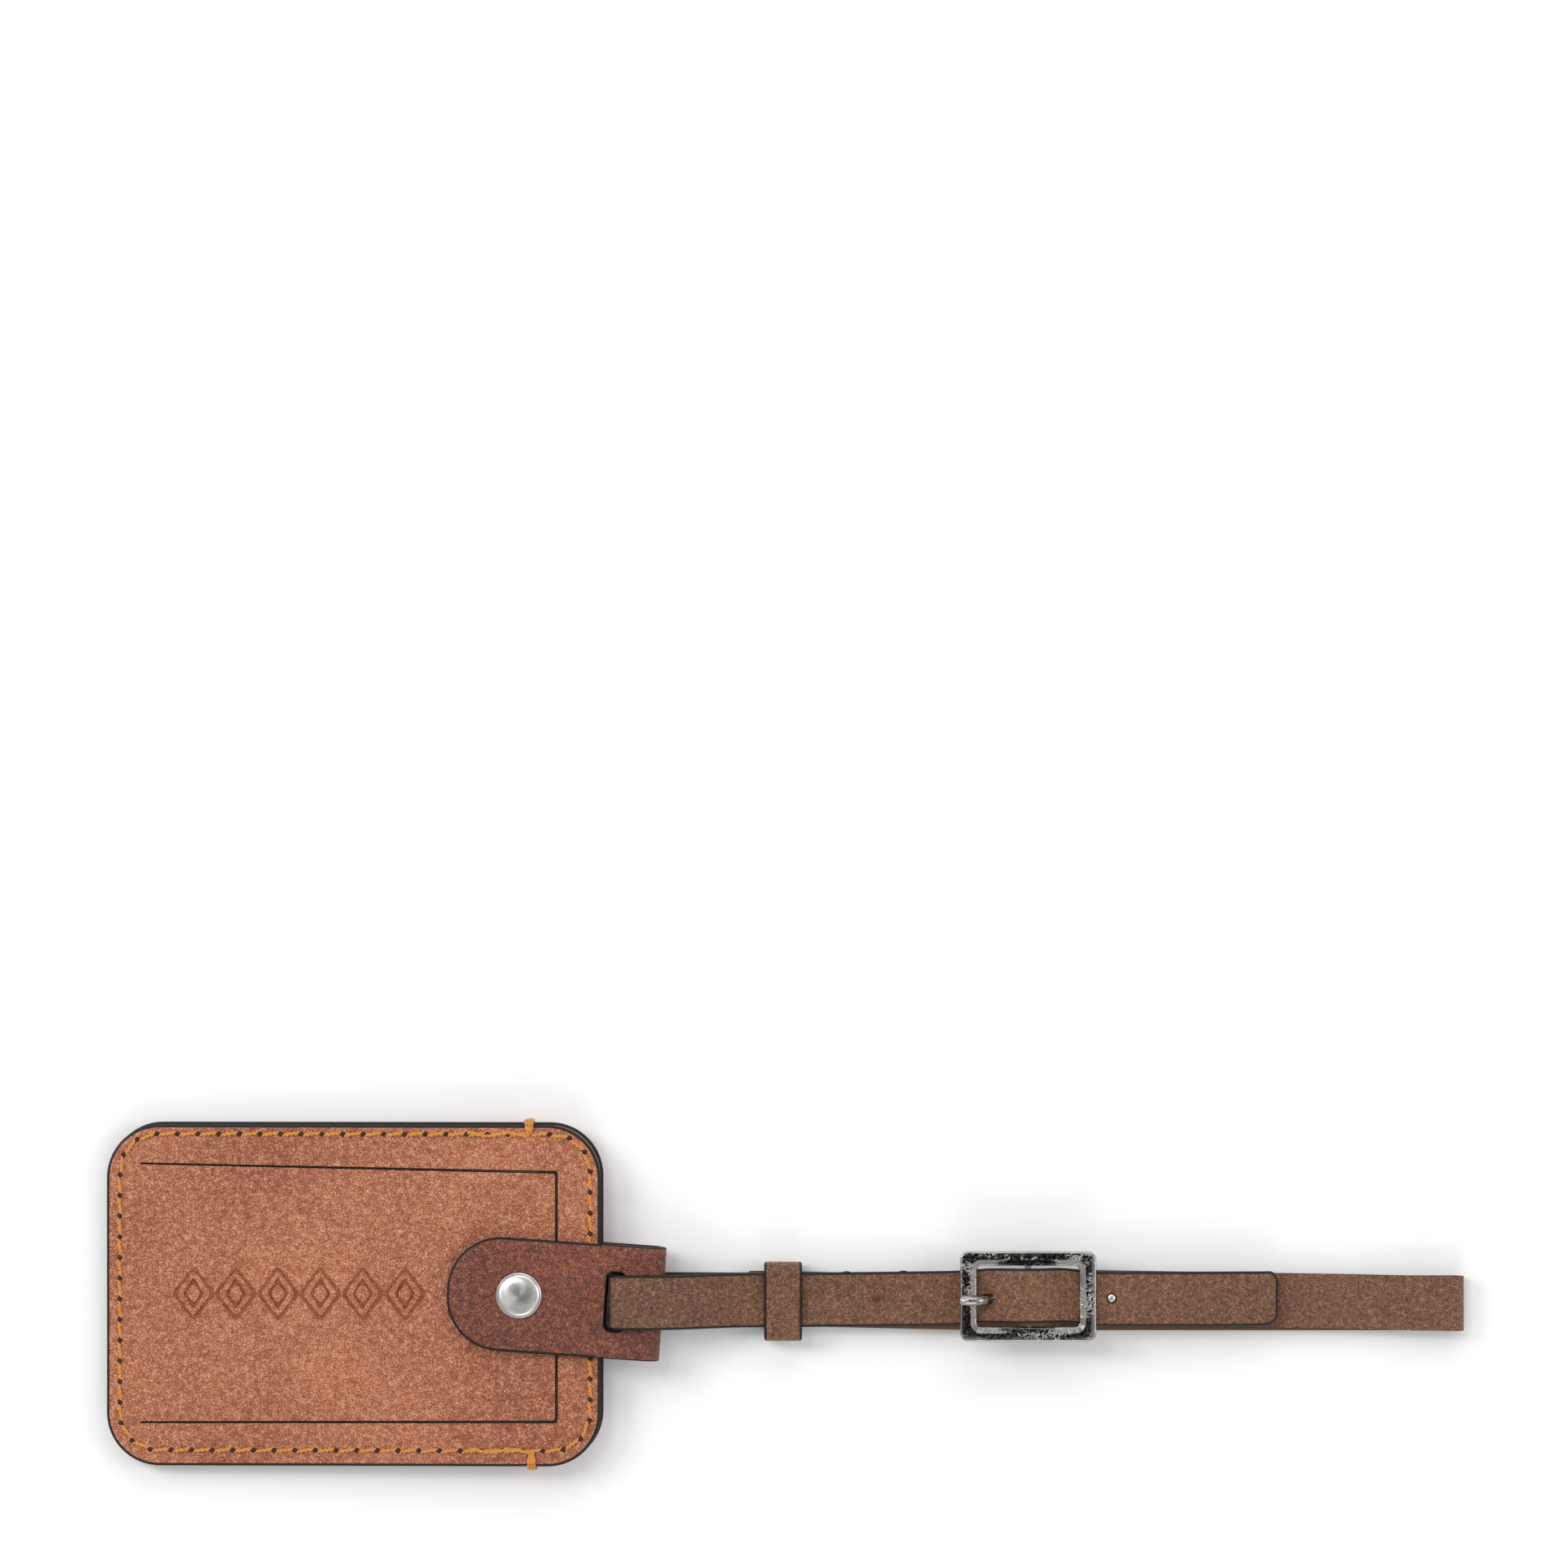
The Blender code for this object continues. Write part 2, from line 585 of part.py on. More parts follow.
def strap_upper():
    """The strap's upper layer, from the flex line through the keeper and the buckle."""
    start = FLEX_X + FLEX_GAP / 2
    stations = [ARCH_START + (ARCH_END - ARCH_START) * step / 24 for step in range(25)]
    end = TIP_HINGE_X - TIP_GAP / 2
    line = [(x, upper_height(x)) for x in (start, *stations, end)]
    upper = ribbon("strap_upper", line, STRAP_WIDTH, STRAP_THICK, upper_drift)
    for number, x in enumerate((RIVET_X - 2 * HOLE_PITCH, RIVET_X)):
        place = (x, upper_drift(x), upper_height(x))
        cut(upper, round_cutter(f"strap_hole_{number}", place, (0, 0, 1), HOLE_RADIUS, 3 * MM))
    half = PRONG_SLOT_WIDTH / 2
    slot = rounded(41.8 * MM, 51.0 * MM, PRONG_LANE - half, PRONG_LANE + half, 1.0 * MM, 3)
    cut(upper, plate("prong_hole", slot, 3.0 * MM, 13.0 * MM, CUTTERS))
    return finish(upper, STRAP_LEATHER)


def strap_tip():
    """The free end of the strap, with its two clipped corners."""
    height = upper_height(TIP_HINGE_X)
    start = TIP_HINGE_X + TIP_GAP / 2
    top = upper_drift(STRAP_TIP_X) + STRAP_WIDTH / 2
    bottom = top - STRAP_WIDTH
    outline = [
        (start, bottom),
        (STRAP_TIP_X - 2.4 * MM, bottom),
        (STRAP_TIP_X - 0.8 * MM, bottom + 0.7 * MM),
        (STRAP_TIP_X, bottom + 2.0 * MM),
        (STRAP_TIP_X, top - 1.4 * MM),
        (STRAP_TIP_X - 1.0 * MM, top),
        (start, top),
    ]
    tip = plate("strap_tip", outline, height - STRAP_THICK / 2, height + STRAP_THICK / 2)
    finish(tip, STRAP_LEATHER, None, (TIP_HINGE_X, 0.0, height))
    tip.rotation_euler = (0.0, TIP_DROOP, 0.0)


def centred(length, width, radius, steps=6):
    half_length, half_width = length / 2, width / 2
    return rounded(
        BUCKLE_X - half_length,
        BUCKLE_X + half_length,
        BUCKLE_Y - half_width,
        BUCKLE_Y + half_width,
        radius,
        steps,
    )


def buckle():
    frame = plate("buckle_frame", centred(BUCKLE_LENGTH, BUCKLE_WIDTH, 1.6 * MM), BUCKLE_SIDE_BOTTOM, BUCKLE_TOP)
    inner = centred(BUCKLE_OPEN_LENGTH, BUCKLE_OPEN_WIDTH, 1.0 * MM, 4)
    cut(frame, plate("buckle_opening", inner, 4 * MM, 12 * MM, CUTTERS))
    relief = centred(BUCKLE_LENGTH + 4 * MM, BUCKLE_OPEN_WIDTH - 0.02 * MM, 0.6 * MM, 2)
    cut(frame, plate("strap_relief", relief, 4 * MM, BUCKLE_END_BOTTOM, CUTTERS))
    bore = (BUCKLE_X, BUCKLE_Y, BAR_Z)
    cut(frame, round_cutter("bar_bore", bore, (0, 1, 0), BAR_RADIUS + GAP, 40 * MM))
    finish(frame, CAST_NICKEL)

    bar = round_cutter("buckle_bar", bore, (0, 1, 0), BAR_RADIUS, BUCKLE_WIDTH - 0.4 * MM)
    CUTTERS.objects.unlink(bar)
    PARTS.objects.link(bar)
    bar.hide_render = False
    bar.display_type = "TEXTURED"
    finish(bar, DARK_STEEL)


def prong():
    """The prong: an eye on the bar, and a wire running out under the strap and up through its hole."""
    lane = PRONG_LANE
    rest = BUCKLE_TOP + GAP + PRONG_RADIUS
    line = [(BUCKLE_X - 1.35 * MM, BAR_Z + 0.2 * MM), (46.0 * MM, BAR_Z + 1.5 * MM), (42.3 * MM, rest)]
    line += [(PRONG_TIP_X + 0.9 * MM, rest), (PRONG_TIP_X, rest - 0.12 * MM)]
    pin = tube("buckle_prong", [(x, lane, z) for x, z in line], PRONG_RADIUS)
    inner, outer, half = BAR_RADIUS + GAP, 1.75 * MM, 0.9 * MM
    eye = turned("prong_eye", [(inner, half), (outer, half), (outer, -half), (inner, -half)], True, 20)
    bake(eye)
    eye.data.transform(Matrix.Translation((BUCKLE_X, lane, BAR_Z)) @ Matrix.Rotation(pi / 2, 4, "X"))
    join = pin.modifiers.new("join", "BOOLEAN")
    join.operation = "UNION"
    join.object = eye
    bake(pin)
    bpy.data.objects.remove(eye, do_unlink=True)
    finish(pin, CAST_NICKEL, None, (BUCKLE_X, lane, BAR_Z))


def keeper():
    """The keeper: a closed leather band round both strap layers."""
    half_length = KEEPER_LENGTH / 2
    height = KEEPER_LIFT + PLY + STRAP_THICK + GAP + KEEPER_THICK
    left, right = KEEPER_Y - KEEPER_WIDTH / 2, KEEPER_Y + KEEPER_WIDTH / 2
    inset = KEEPER_THICK
    outer = rounded(left, right, 0.0, height, 1.5 * MM, 4)
    inner = rounded(left + inset, right - inset, inset, height - inset, 0.5 * MM, 4)
    band = plate("keeper_loop", outer, -half_length, half_length)
    cut(band, plate("keeper_inside", inner, -2 * half_length, 2 * half_length, CUTTERS))
    stand = Matrix.Translation((KEEPER_X, 0.0, 0.0)) @ Matrix.Rotation(pi / 2, 4, "Z") @ Matrix.Rotation(pi / 2, 4, "X")
    band.data.transform(stand)
    finish(band, STRAP_LEATHER)


def build():
    panels()
    front_edge = PANEL_MID_Y + PANEL_WIDTH / 2
    edge_tack("top_edge_tack", -55.3 * MM, front_edge, 1, BACK_SHIFT.y)
    edge_tack("bottom_edge_tack", -54.8 * MM, front_edge - PANEL_WIDTH, -1, 0.0)
    pocket_contents()
    card_flap()
    snap()
    rear_rivet()
    closure_tab()
    strap_bight()
    strap_loop()
    strap_rivet()
    strap_upper()
    strap_tip()
    buckle()
    prong()
    keeper()


build()
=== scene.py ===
# %% [markdown]
# A leather luggage tag, dressed piece by piece around its fixed CAD frame. The frame says where every
# joint and every part sits; the cells below cut, bend, stitch and polish what is seen. Leather is made
# the way a workshop makes it: a flat pattern is cut, its edges are rounded and painted, and the piece
# is bent into place. All lengths are in metres.

# %% Load the frame
import json
from math import asin, atan2, cos, degrees, hypot, pi, radians, sin

import bmesh
import bpy
from mathutils import Matrix, Vector, noise


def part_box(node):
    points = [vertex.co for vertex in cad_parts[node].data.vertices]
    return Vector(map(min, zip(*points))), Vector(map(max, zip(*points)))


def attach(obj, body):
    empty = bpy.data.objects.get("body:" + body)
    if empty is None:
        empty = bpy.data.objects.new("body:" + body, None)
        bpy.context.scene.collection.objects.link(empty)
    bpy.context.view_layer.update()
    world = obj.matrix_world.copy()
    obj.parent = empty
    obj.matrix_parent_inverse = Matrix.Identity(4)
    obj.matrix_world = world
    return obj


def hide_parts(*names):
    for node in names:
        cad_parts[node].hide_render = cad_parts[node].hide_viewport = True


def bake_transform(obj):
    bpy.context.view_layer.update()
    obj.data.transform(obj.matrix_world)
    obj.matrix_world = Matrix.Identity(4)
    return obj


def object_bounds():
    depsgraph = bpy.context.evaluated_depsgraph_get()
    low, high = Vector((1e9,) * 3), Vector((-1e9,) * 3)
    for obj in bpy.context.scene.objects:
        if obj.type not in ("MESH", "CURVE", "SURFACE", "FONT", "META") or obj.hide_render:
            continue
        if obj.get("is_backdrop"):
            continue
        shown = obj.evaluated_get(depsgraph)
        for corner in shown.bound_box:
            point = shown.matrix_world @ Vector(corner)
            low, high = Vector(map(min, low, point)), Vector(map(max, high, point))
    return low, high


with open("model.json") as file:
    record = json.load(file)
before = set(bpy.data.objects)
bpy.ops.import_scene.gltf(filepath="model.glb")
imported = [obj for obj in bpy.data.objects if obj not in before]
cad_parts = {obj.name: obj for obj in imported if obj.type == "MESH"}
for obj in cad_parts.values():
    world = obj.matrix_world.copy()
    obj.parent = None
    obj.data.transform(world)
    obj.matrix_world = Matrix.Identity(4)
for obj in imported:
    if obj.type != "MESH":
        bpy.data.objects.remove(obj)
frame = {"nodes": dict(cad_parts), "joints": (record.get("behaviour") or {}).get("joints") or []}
cad_low, cad_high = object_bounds()
joints = {joint["name"]: joint for joint in frame["joints"]}
MM = 0.001
print("CAD box in mm:", [round(side / MM, 1) for side in cad_high - cad_low])

# %% [markdown]
# The pocket leans a little, because the strap passes under its open end. Two matrices carry a flat
# pattern to its place: one for the pocket, and one for the closure tab, which also sits off square.
# The lean and the turn are read from the axes of the frame's own joints, so they can't drift from it.

# %% Where the pocket and the tab stand
PANEL_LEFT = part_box("front_panel")[0].x + 0.115 * MM
LEAN = asin(-joints["tab_swivel"]["axis"][0])
TAB_YAW = -atan2(joints["tab_lift"]["axis"][0], joints["tab_lift"]["axis"][1])
SNAP = Vector((-57.4 * MM, -0.35 * MM, 0.0))

to_edge = Matrix.Translation((PANEL_LEFT, 0.0, 0.0))
POCKET = to_edge @ Matrix.Rotation(-LEAN, 4, "Y") @ to_edge.inverted()
TAB = POCKET @ Matrix.Translation(SNAP) @ Matrix.Rotation(TAB_YAW, 4, "Z")
print("lean and turn in degrees:", round(degrees(LEAN), 2), round(degrees(TAB_YAW), 2))

# %% [markdown]
# The camera looks straight down on a tag that lies flat, from far away with a long lens, so that the
# layers hardly shift against each other. Far and long is kinder to a flat object than near and wide.

# %% Camera
VIEW_WIDTH = 338.9 * MM
VIEW_HEIGHT = 1.5
AIM = Vector((-0.4 * MM, 110.0 * MM, 6.0 * MM))

lens = bpy.data.cameras.new("camera")
lens.sensor_width = 36.0
lens.lens = lens.sensor_width * VIEW_HEIGHT / VIEW_WIDTH
lens.clip_end = 50.0
camera = bpy.data.objects.new("camera", lens)
camera.location = AIM + Vector((0.0, 0.0, VIEW_HEIGHT))
bpy.context.scene.collection.objects.link(camera)
bpy.context.scene.camera = camera
bpy.context.scene.view_settings.view_transform = "Standard"
print("lens in mm:", round(lens.lens, 1))

# %% [markdown]
# A product table is a pale sweep under big soft lamps. Lamps on all four sides rake across the leather,
# so that its grain shows, and draw bright lines on the metal. A black card hangs above the camera, out
# of its sight, to give the flat tops of the metal something dark to mirror: without it nickel looks
# like white plastic.

# %% Floor, sky and lamps
LAMPS = {
    "lamp_left": ((-0.9, 0.45, 0.75), 0.5, 0.4, 4.6),
    "lamp_right": ((0.9, 0.1, 0.7), 0.5, 0.45, 2.2),
    "lamp_back": ((0.1, 1.1, 0.8), 1.2, 0.4, 3.6),
    "lamp_front": ((0.1, -1.1, 0.75), 0.7, 0.4, 2.6),
    "lamp_high": ((-0.75, 0.75, 1.7), 0.5, 0.5, 4.6),
}
SKY = 0.58
FLOOR_HALF, FLOOR_DROP = 12.0, 0.05 * MM
FLAG_HALF, FLAG_HEIGHT = 0.42, 1.8


def to_mesh(name, bm):
    mesh = bpy.data.meshes.new(name)
    bm.to_mesh(mesh)
    bm.free()
    return mesh


def stage_card(name, paper, half, height, shade, **sockets):
    """A square card that belongs to the stage."""
    finish = bpy.data.materials.new(paper)
    finish.use_nodes = True
    shader = finish.node_tree.nodes["Principled BSDF"]
    shader.inputs["Base Color"].default_value = (shade, shade, shade, 1.0)
    for socket, value in sockets.items():
        shader.inputs[socket.replace("_", " ")].default_value = value
    bm = bmesh.new()
    bmesh.ops.create_grid(bm, x_segments=1, y_segments=1, size=half)
    bmesh.ops.translate(bm, verts=bm.verts, vec=(0.0, 0.0, height))
    mesh = to_mesh(name, bm)
    mesh.materials.append(finish)
    card = bpy.data.objects.new(name, mesh)
    bpy.context.scene.collection.objects.link(card)
    card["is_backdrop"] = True
    return card


stage_card("floor", "white_paper", FLOOR_HALF, min(cad_low.z, 0.0) - FLOOR_DROP, 0.96, Roughness=0.9)
flag = stage_card("black_flag", "black_card", FLAG_HALF, FLAG_HEIGHT, 0.01, Specular_IOR_Level=0.0)
flag.visible_camera = False

sky = bpy.data.worlds.new("sky")
sky.use_nodes = True
sky.node_tree.nodes["Background"].inputs["Color"].default_value = (1.0, 1.0, 1.0, 1.0)
sky.node_tree.nodes["Background"].inputs["Strength"].default_value = SKY
bpy.context.scene.world = sky

for name, (place, width, depth, power) in LAMPS.items():
    light = bpy.data.lights.new(name, "AREA")
    light.shape = "RECTANGLE"
    light.size, light.size_y, light.energy = width, depth, power
    lamp = bpy.data.objects.new(name, light)
    lamp.location = place
    lamp.rotation_euler = (-Vector(place)).to_track_quat("-Z", "Y").to_euler()
    lamp.visible_camera = False
    bpy.context.scene.collection.objects.link(lamp)
print("lamps:", len(LAMPS))

# %% [markdown]
# Every finish is a small node tree. These helpers add a node and join two sockets, so that each finish
# below reads as a list of what the surface does rather than as wiring. The plainest finishes need one
# fine noise only, and share one recipe.

# %% Node helpers
def surface(name):
    """A new material, its node tree, its shader and the place on the piece that its patterns read."""
    made = bpy.data.materials.new(name)
    made.use_nodes = True
    tree = made.node_tree
    return made, tree, tree.nodes["Principled BSDF"], tree.nodes.new("ShaderNodeTexCoord").outputs["Object"]


def put(made, **values):
    """Sets sockets by name, with an underscore for each space."""
    for socket, value in values.items():
        made.inputs[socket.replace("_", " ")].default_value = value
    return made


def ramp(tree, fac, stops):
    made = tree.nodes.new("ShaderNodeValToRGB")
    while len(made.color_ramp.elements) < len(stops):
        made.color_ramp.elements.new(0.5)
    for element, (place, shade) in zip(made.color_ramp.elements, stops):
        element.position = place
        element.color = (*shade, 1.0) if isinstance(shade, tuple) else (shade, shade, shade, 1.0)
    tree.links.new(fac, made.inputs["Fac"])
    return made.outputs["Color"]


def blend_colour(tree, kind, fac, first, second):
    made = tree.nodes.new("ShaderNodeMix")
    made.data_type = "RGBA"
    made.blend_type = kind
    for socket, value in (("Factor", fac), ("A", first), ("B", second)):
        target = next(s for s in made.inputs if s.name == socket and s.type != "VECTOR" and s.enabled)
        if hasattr(value, "links"):
            tree.links.new(value, target)
        else:
            target.default_value = (*value, 1.0) if isinstance(value, tuple) else value
    return next(s for s in made.outputs if s.enabled)


def noise_node(tree, where, scale, detail=4.0, roughness=0.55, distortion=0.0):
    made = put(tree.nodes.new("ShaderNodeTexNoise"), Scale=scale, Detail=detail, Roughness=roughness)
    made.inputs["Distortion"].default_value = distortion
    tree.links.new(where, made.inputs["Vector"])
    return made.outputs["Fac"]


def bump(tree, height, distance, strength=1.0, under=None):
    made = put(tree.nodes.new("ShaderNodeBump"), Strength=strength, Distance=distance)
    tree.links.new(height, made.inputs["Height"])
    if under:
        tree.links.new(under, made.inputs["Normal"])
    return made.outputs["Normal"]


def flecked(name, fleck, tones=(), rough=(), relief=(), **sockets):
    """A finish whose colour, roughness and relief follow one fine noise. Relief may bring its own noise."""
    made, tree, shader, where = surface(name)
    flecks = noise_node(tree, where, *fleck)
    if tones:
        tree.links.new(ramp(tree, flecks, tones), shader.inputs["Base Color"])
    if rough:
        tree.links.new(ramp(tree, flecks, rough), shader.inputs["Roughness"])
    if relief:
        depth, strength, *own = relief
        height = noise_node(tree, where, *own[0]) if own else flecks
        tree.links.new(bump(tree, height, depth, strength), shader.inputs["Normal"])
    put(shader, **sockets)
    return made


print("node helpers ready")

# %% [markdown]
# Grained leather is a field of small rounded pebbles with creases between them, over slow changes
# of tone from the dye and from handling. A Voronoi texture gives the pebbles. Its coordinates are first
# pushed about by a noise, or the pebbles look like a tiled floor. The same pattern paints shade into the
# creases, lifts the bump and makes the creases less glossy, so colour, shape and shine agree. Light
# specks on patches of the pebble tops are painted highlights.

# %% Leather
GRAIN = 0.60 * MM
STRAP_GRAIN = 0.44 * MM
DOME = ((0.0, 0.0), (0.10, 0.5), (0.22, 0.8), (0.45, 1.0))


def leather(name, light, dark, crease_shade, highlight_speck, gloss=0.32, grain=GRAIN, depth=0.20 * MM, tone=24.0):
    made, tree, shader, where = surface(name)
    push = put(tree.nodes.new("ShaderNodeTexNoise"), Scale=0.6 / grain, Detail=2.0)
    tree.links.new(where, push.inputs["Vector"])
    moved = tree.nodes.new("ShaderNodeVectorMath")
    moved.operation = "MULTIPLY_ADD"
    moved.inputs[1].default_value = (0.8 * grain,) * 3
    tree.links.new(push.outputs["Color"], moved.inputs[0])
    tree.links.new(where, moved.inputs[2])
    pebbles = put(tree.nodes.new("ShaderNodeTexVoronoi"), Scale=1.0 / grain, Randomness=1.0)
    pebbles.feature = "DISTANCE_TO_EDGE"
    tree.links.new(moved.outputs["Vector"], pebbles.inputs["Vector"])
    dome = ramp(tree, pebbles.outputs["Distance"], DOME)
    tones = ramp(tree, noise_node(tree, where, tone, 5.0, 0.6), ((0.34, dark), (0.66, light)))
    patchy = noise_node(tree, where, 0.42 / grain, 4.0, 0.8)
    mottled = blend_colour(tree, "SOFT_LIGHT", 0.75, tones, ramp(tree, patchy, ((0.36, 0.15), (0.64, 0.8))))
    # Painted shade: the creases between the pebbles are coloured darker.
    crease_shaded = blend_colour(tree, "MIX", ramp(tree, dome, ((0.0, 0.85), (0.75, 0.0))), mottled, crease_shade)
    # Painted highlights: light specks on patches of the pebble tops stand in for glints.
    glint_spots = ramp(tree, noise_node(tree, where, 1.0 / grain, 3.0, 0.65, 0.6), ((0.46, 0.0), (0.60, 1.0)))
    highlight_patches = ramp(tree, patchy, ((0.40, 0.10), (0.64, 0.85)))
    highlight_mask = blend_colour(tree, "MULTIPLY", 1.0, glint_spots, highlight_patches)
    colour = blend_colour(tree, "MIX", highlight_mask, crease_shaded, highlight_speck)
    tree.links.new(colour, shader.inputs["Base Color"])
    shine = ramp(tree, dome, ((0.0, gloss + 0.28), (0.8, gloss)))
    tree.links.new(shine, shader.inputs["Roughness"])
    creased = noise_node(tree, where, 120.0, 6.0, 0.62, 1.6)
    wrinkles = ramp(tree, creased, ((0.44, 1.0), (0.50, 0.35), (0.56, 1.0)))
    folds = bump(tree, wrinkles, 0.05 * MM, 0.5)
    tree.links.new(bump(tree, dome, depth, 0.8, folds), shader.inputs["Normal"])
    put(shader, Specular_IOR_Level=0.55, Sheen_Weight=0.02)
    return made


# Each set is a light and a dark tone of the leather, a painted crease shade and a painted highlight speck.
TAN_TONES = ((0.60, 0.205, 0.090), (0.38, 0.100, 0.036), (0.15, 0.038, 0.012), (0.76, 0.37, 0.22))
TAB_TONES = ((0.27, 0.062, 0.024), (0.15, 0.030, 0.012), (0.03, 0.007, 0.004), (0.44, 0.15, 0.08))
STRAP_TONES = ((0.25, 0.098, 0.045), (0.165, 0.058, 0.026), (0.04, 0.014, 0.006), (0.44, 0.23, 0.12))
CHANNEL_SHADE_TONES = ((0.33, 0.080, 0.017), (0.26, 0.060, 0.014), (0.18, 0.038, 0.010), (0.38, 0.11, 0.03))
TAN = leather("tan_leather", *TAN_TONES)
TAB_BROWN = leather("tab_leather", *TAB_TONES)
STRAP_BROWN = leather("strap_leather", *STRAP_TONES, grain=STRAP_GRAIN)
CHANNEL_SHADE = leather("pressed_leather", *CHANNEL_SHADE_TONES, gloss=0.30)
print("leathers:", TAN.name, TAB_BROWN.name, STRAP_BROWN.name, CHANNEL_SHADE.name)

# %% [markdown]
# A cut edge shows raw fibre, so the maker seals it with thick black paint. The paint is nearly smooth,
# a little glossy, and thin in places. The hidden flesh side of the leather is the opposite: matt,
# pale and fibrous, which a distorted noise and a soft sheen suggest.

# %% Edge paint and flesh side
BLACK = ((0.45, (0.006, 0.005, 0.006)), (0.85, (0.030, 0.016, 0.012)))
PAINT = dict(rough=((0.3, 0.42), (0.7, 0.6)), relief=(0.05 * MM, 0.5, (1500.0, 3.0)))
FIBRES = (1600.0, 6.0, 0.75, 1.2)
FLUFF = dict(relief=(0.12 * MM, 0.8), Roughness=0.95, Sheen_Weight=0.35, Specular_IOR_Level=0.2)
TAN_INSIDE = ((0.3, (0.33, 0.16, 0.08)), (0.7, (0.50, 0.27, 0.14)))
BROWN_INSIDE = ((0.3, (0.12, 0.06, 0.035)), (0.7, (0.22, 0.12, 0.07)))

EDGE = flecked("edge_paint", (900.0, 4.0, 0.7), BLACK, Specular_IOR_Level=0.3, **PAINT)
TAN_FLESH = flecked("tan_flesh_side", FIBRES, TAN_INSIDE, **FLUFF)
BROWN_FLESH = flecked("brown_flesh_side", FIBRES, BROWN_INSIDE, **FLUFF)
print("edge paint and flesh sides:", EDGE.name, TAN_FLESH.name, BROWN_FLESH.name)

# %% [markdown]
# The metals share one recipe, mirror reflection broken up by roughness, and differ in how they were
# made. The cast frame has a polished skin over a slightly pitted casting, so its noise is coarse and
# its gloss uneven. The snap cap was brushed while it turned, which stretches its highlight into a fan:
# that is anisotropy, which runs round the piece's middle when no tangent is given.

# %% Metals
SMUDGED = ((0.3, (0.54, 0.53, 0.51)), (0.7, (0.70, 0.69, 0.67)))
BRUSHED = (0.01 * MM, 0.4, (2600.0, 2.0))
GRIMY = ((0.3, (0.24, 0.23, 0.22)), (0.7, (0.42, 0.41, 0.40)))


def cast_nickel():
    made, tree, shader, where = surface("cast_nickel")
    tarnish = noise_node(tree, where, 190.0, 4.0, 0.6)
    skin = ramp(tree, tarnish, ((0.35, (0.30, 0.29, 0.275)), (0.65, (0.50, 0.485, 0.46))))
    tree.links.new(skin, shader.inputs["Base Color"])
    pits = noise_node(tree, where, 1700.0, 3.0, 0.6, 0.3)
    tree.links.new(ramp(tree, pits, ((0.35, 0.26), (0.6, 0.10))), shader.inputs["Roughness"])
    where_pitted = ramp(tree, tarnish, ((0.46, 0.0), (0.60, 1.0)))
    pock_marks = ramp(tree, pits, ((0.40, 0.0), (0.50, 1.0)))
    pitted = blend_colour(tree, "MULTIPLY", where_pitted, (1.0, 1.0, 1.0), pock_marks)
    shallow = bump(tree, pitted, 0.09 * MM, 0.9)
    swells = bump(tree, noise_node(tree, where, 75.0, 1.0), 0.9 * MM, 0.6, shallow)
    tree.links.new(swells, shader.inputs["Normal"])
    put(shader, Metallic=1.0)
    return made


CAST = cast_nickel()
cap_shine = dict(rough=((0.3, 0.36), (0.7, 0.27)), relief=BRUSHED, Metallic=1.0, Anisotropic=0.75)
SATIN = flecked("satin_nickel", (500.0, 4.0, 0.6), SMUDGED, **cap_shine)
STEEL = flecked("plain_steel", (400.0, 5.0, 0.7), GRIMY, ((0.3, 0.5), (0.7, 0.3)), Metallic=1.0)
print("metals:", CAST.name, SATIN.name, STEEL.name)

# %% [markdown]
# Golden polyester thread is two plies twisted together. The twist is real geometry further down, so
# the finish only has to add the fine filaments, a soft sheen and the amber tone of the light that
# scatters inside. An awl hole is a flat dark disc on the leather, painted shade where the hole is.

# %% Thread, holes, card and clear sheet
AMBER = ((0.3, (0.42, 0.13, 0.012)), (0.68, (0.86, 0.38, 0.06)))
HOLE_SHADE_TONES = ((0.3, (0.012, 0.005, 0.003)), (0.8, (0.07, 0.02, 0.008)))
PAPER = ((0.3, (0.80, 0.78, 0.72)), (0.7, (0.88, 0.86, 0.81)))
GREY_INK = ((0.3, (0.16, 0.17, 0.20)), (0.7, (0.26, 0.27, 0.30)))
SILKY = dict(relief=(0.04 * MM, 0.7), Roughness=0.5, Sheen_Weight=0.5, Sheen_Roughness=0.4)
GLASSY = dict(rough=((0.3, 0.05), (0.7, 0.14)), Base_Color=(0.93, 0.95, 0.95, 1.0), Alpha=0.22)

GOLD = flecked("gold_thread", (3800.0, 4.0, 0.7, 0.5), AMBER, **SILKY)
HOLE_SHADE = flecked("awl_hole", (2400.0, 3.0), HOLE_SHADE_TONES, Roughness=0.85)
CARD = flecked("card_stock", (1200.0, 5.0, 0.7), PAPER, relief=(0.02 * MM, 0.5), Roughness=0.8)
CLEAR = flecked("clear_sheet", (90.0, 2.0), relief=(0.2 * MM, 0.4), **GLASSY)
INK = flecked("printed_line", (2000.0, 3.0), GREY_INK, Roughness=0.8)
print("small finishes:", GOLD.name, HOLE_SHADE.name, CARD.name, CLEAR.name, INK.name)

# %% [markdown]
# A piece leaves the bench through one function: it moves the mesh to its place, gives it its finishes,
# shades it smooth except over sharp corners, hangs it on the body it rides on and hides the CAD nodes it
# stands for. A piece that spans two bodies at a bend is only fixed in place.

# %% Handing a piece over
TAN_HIDE = (TAN, EDGE, TAN_FLESH)


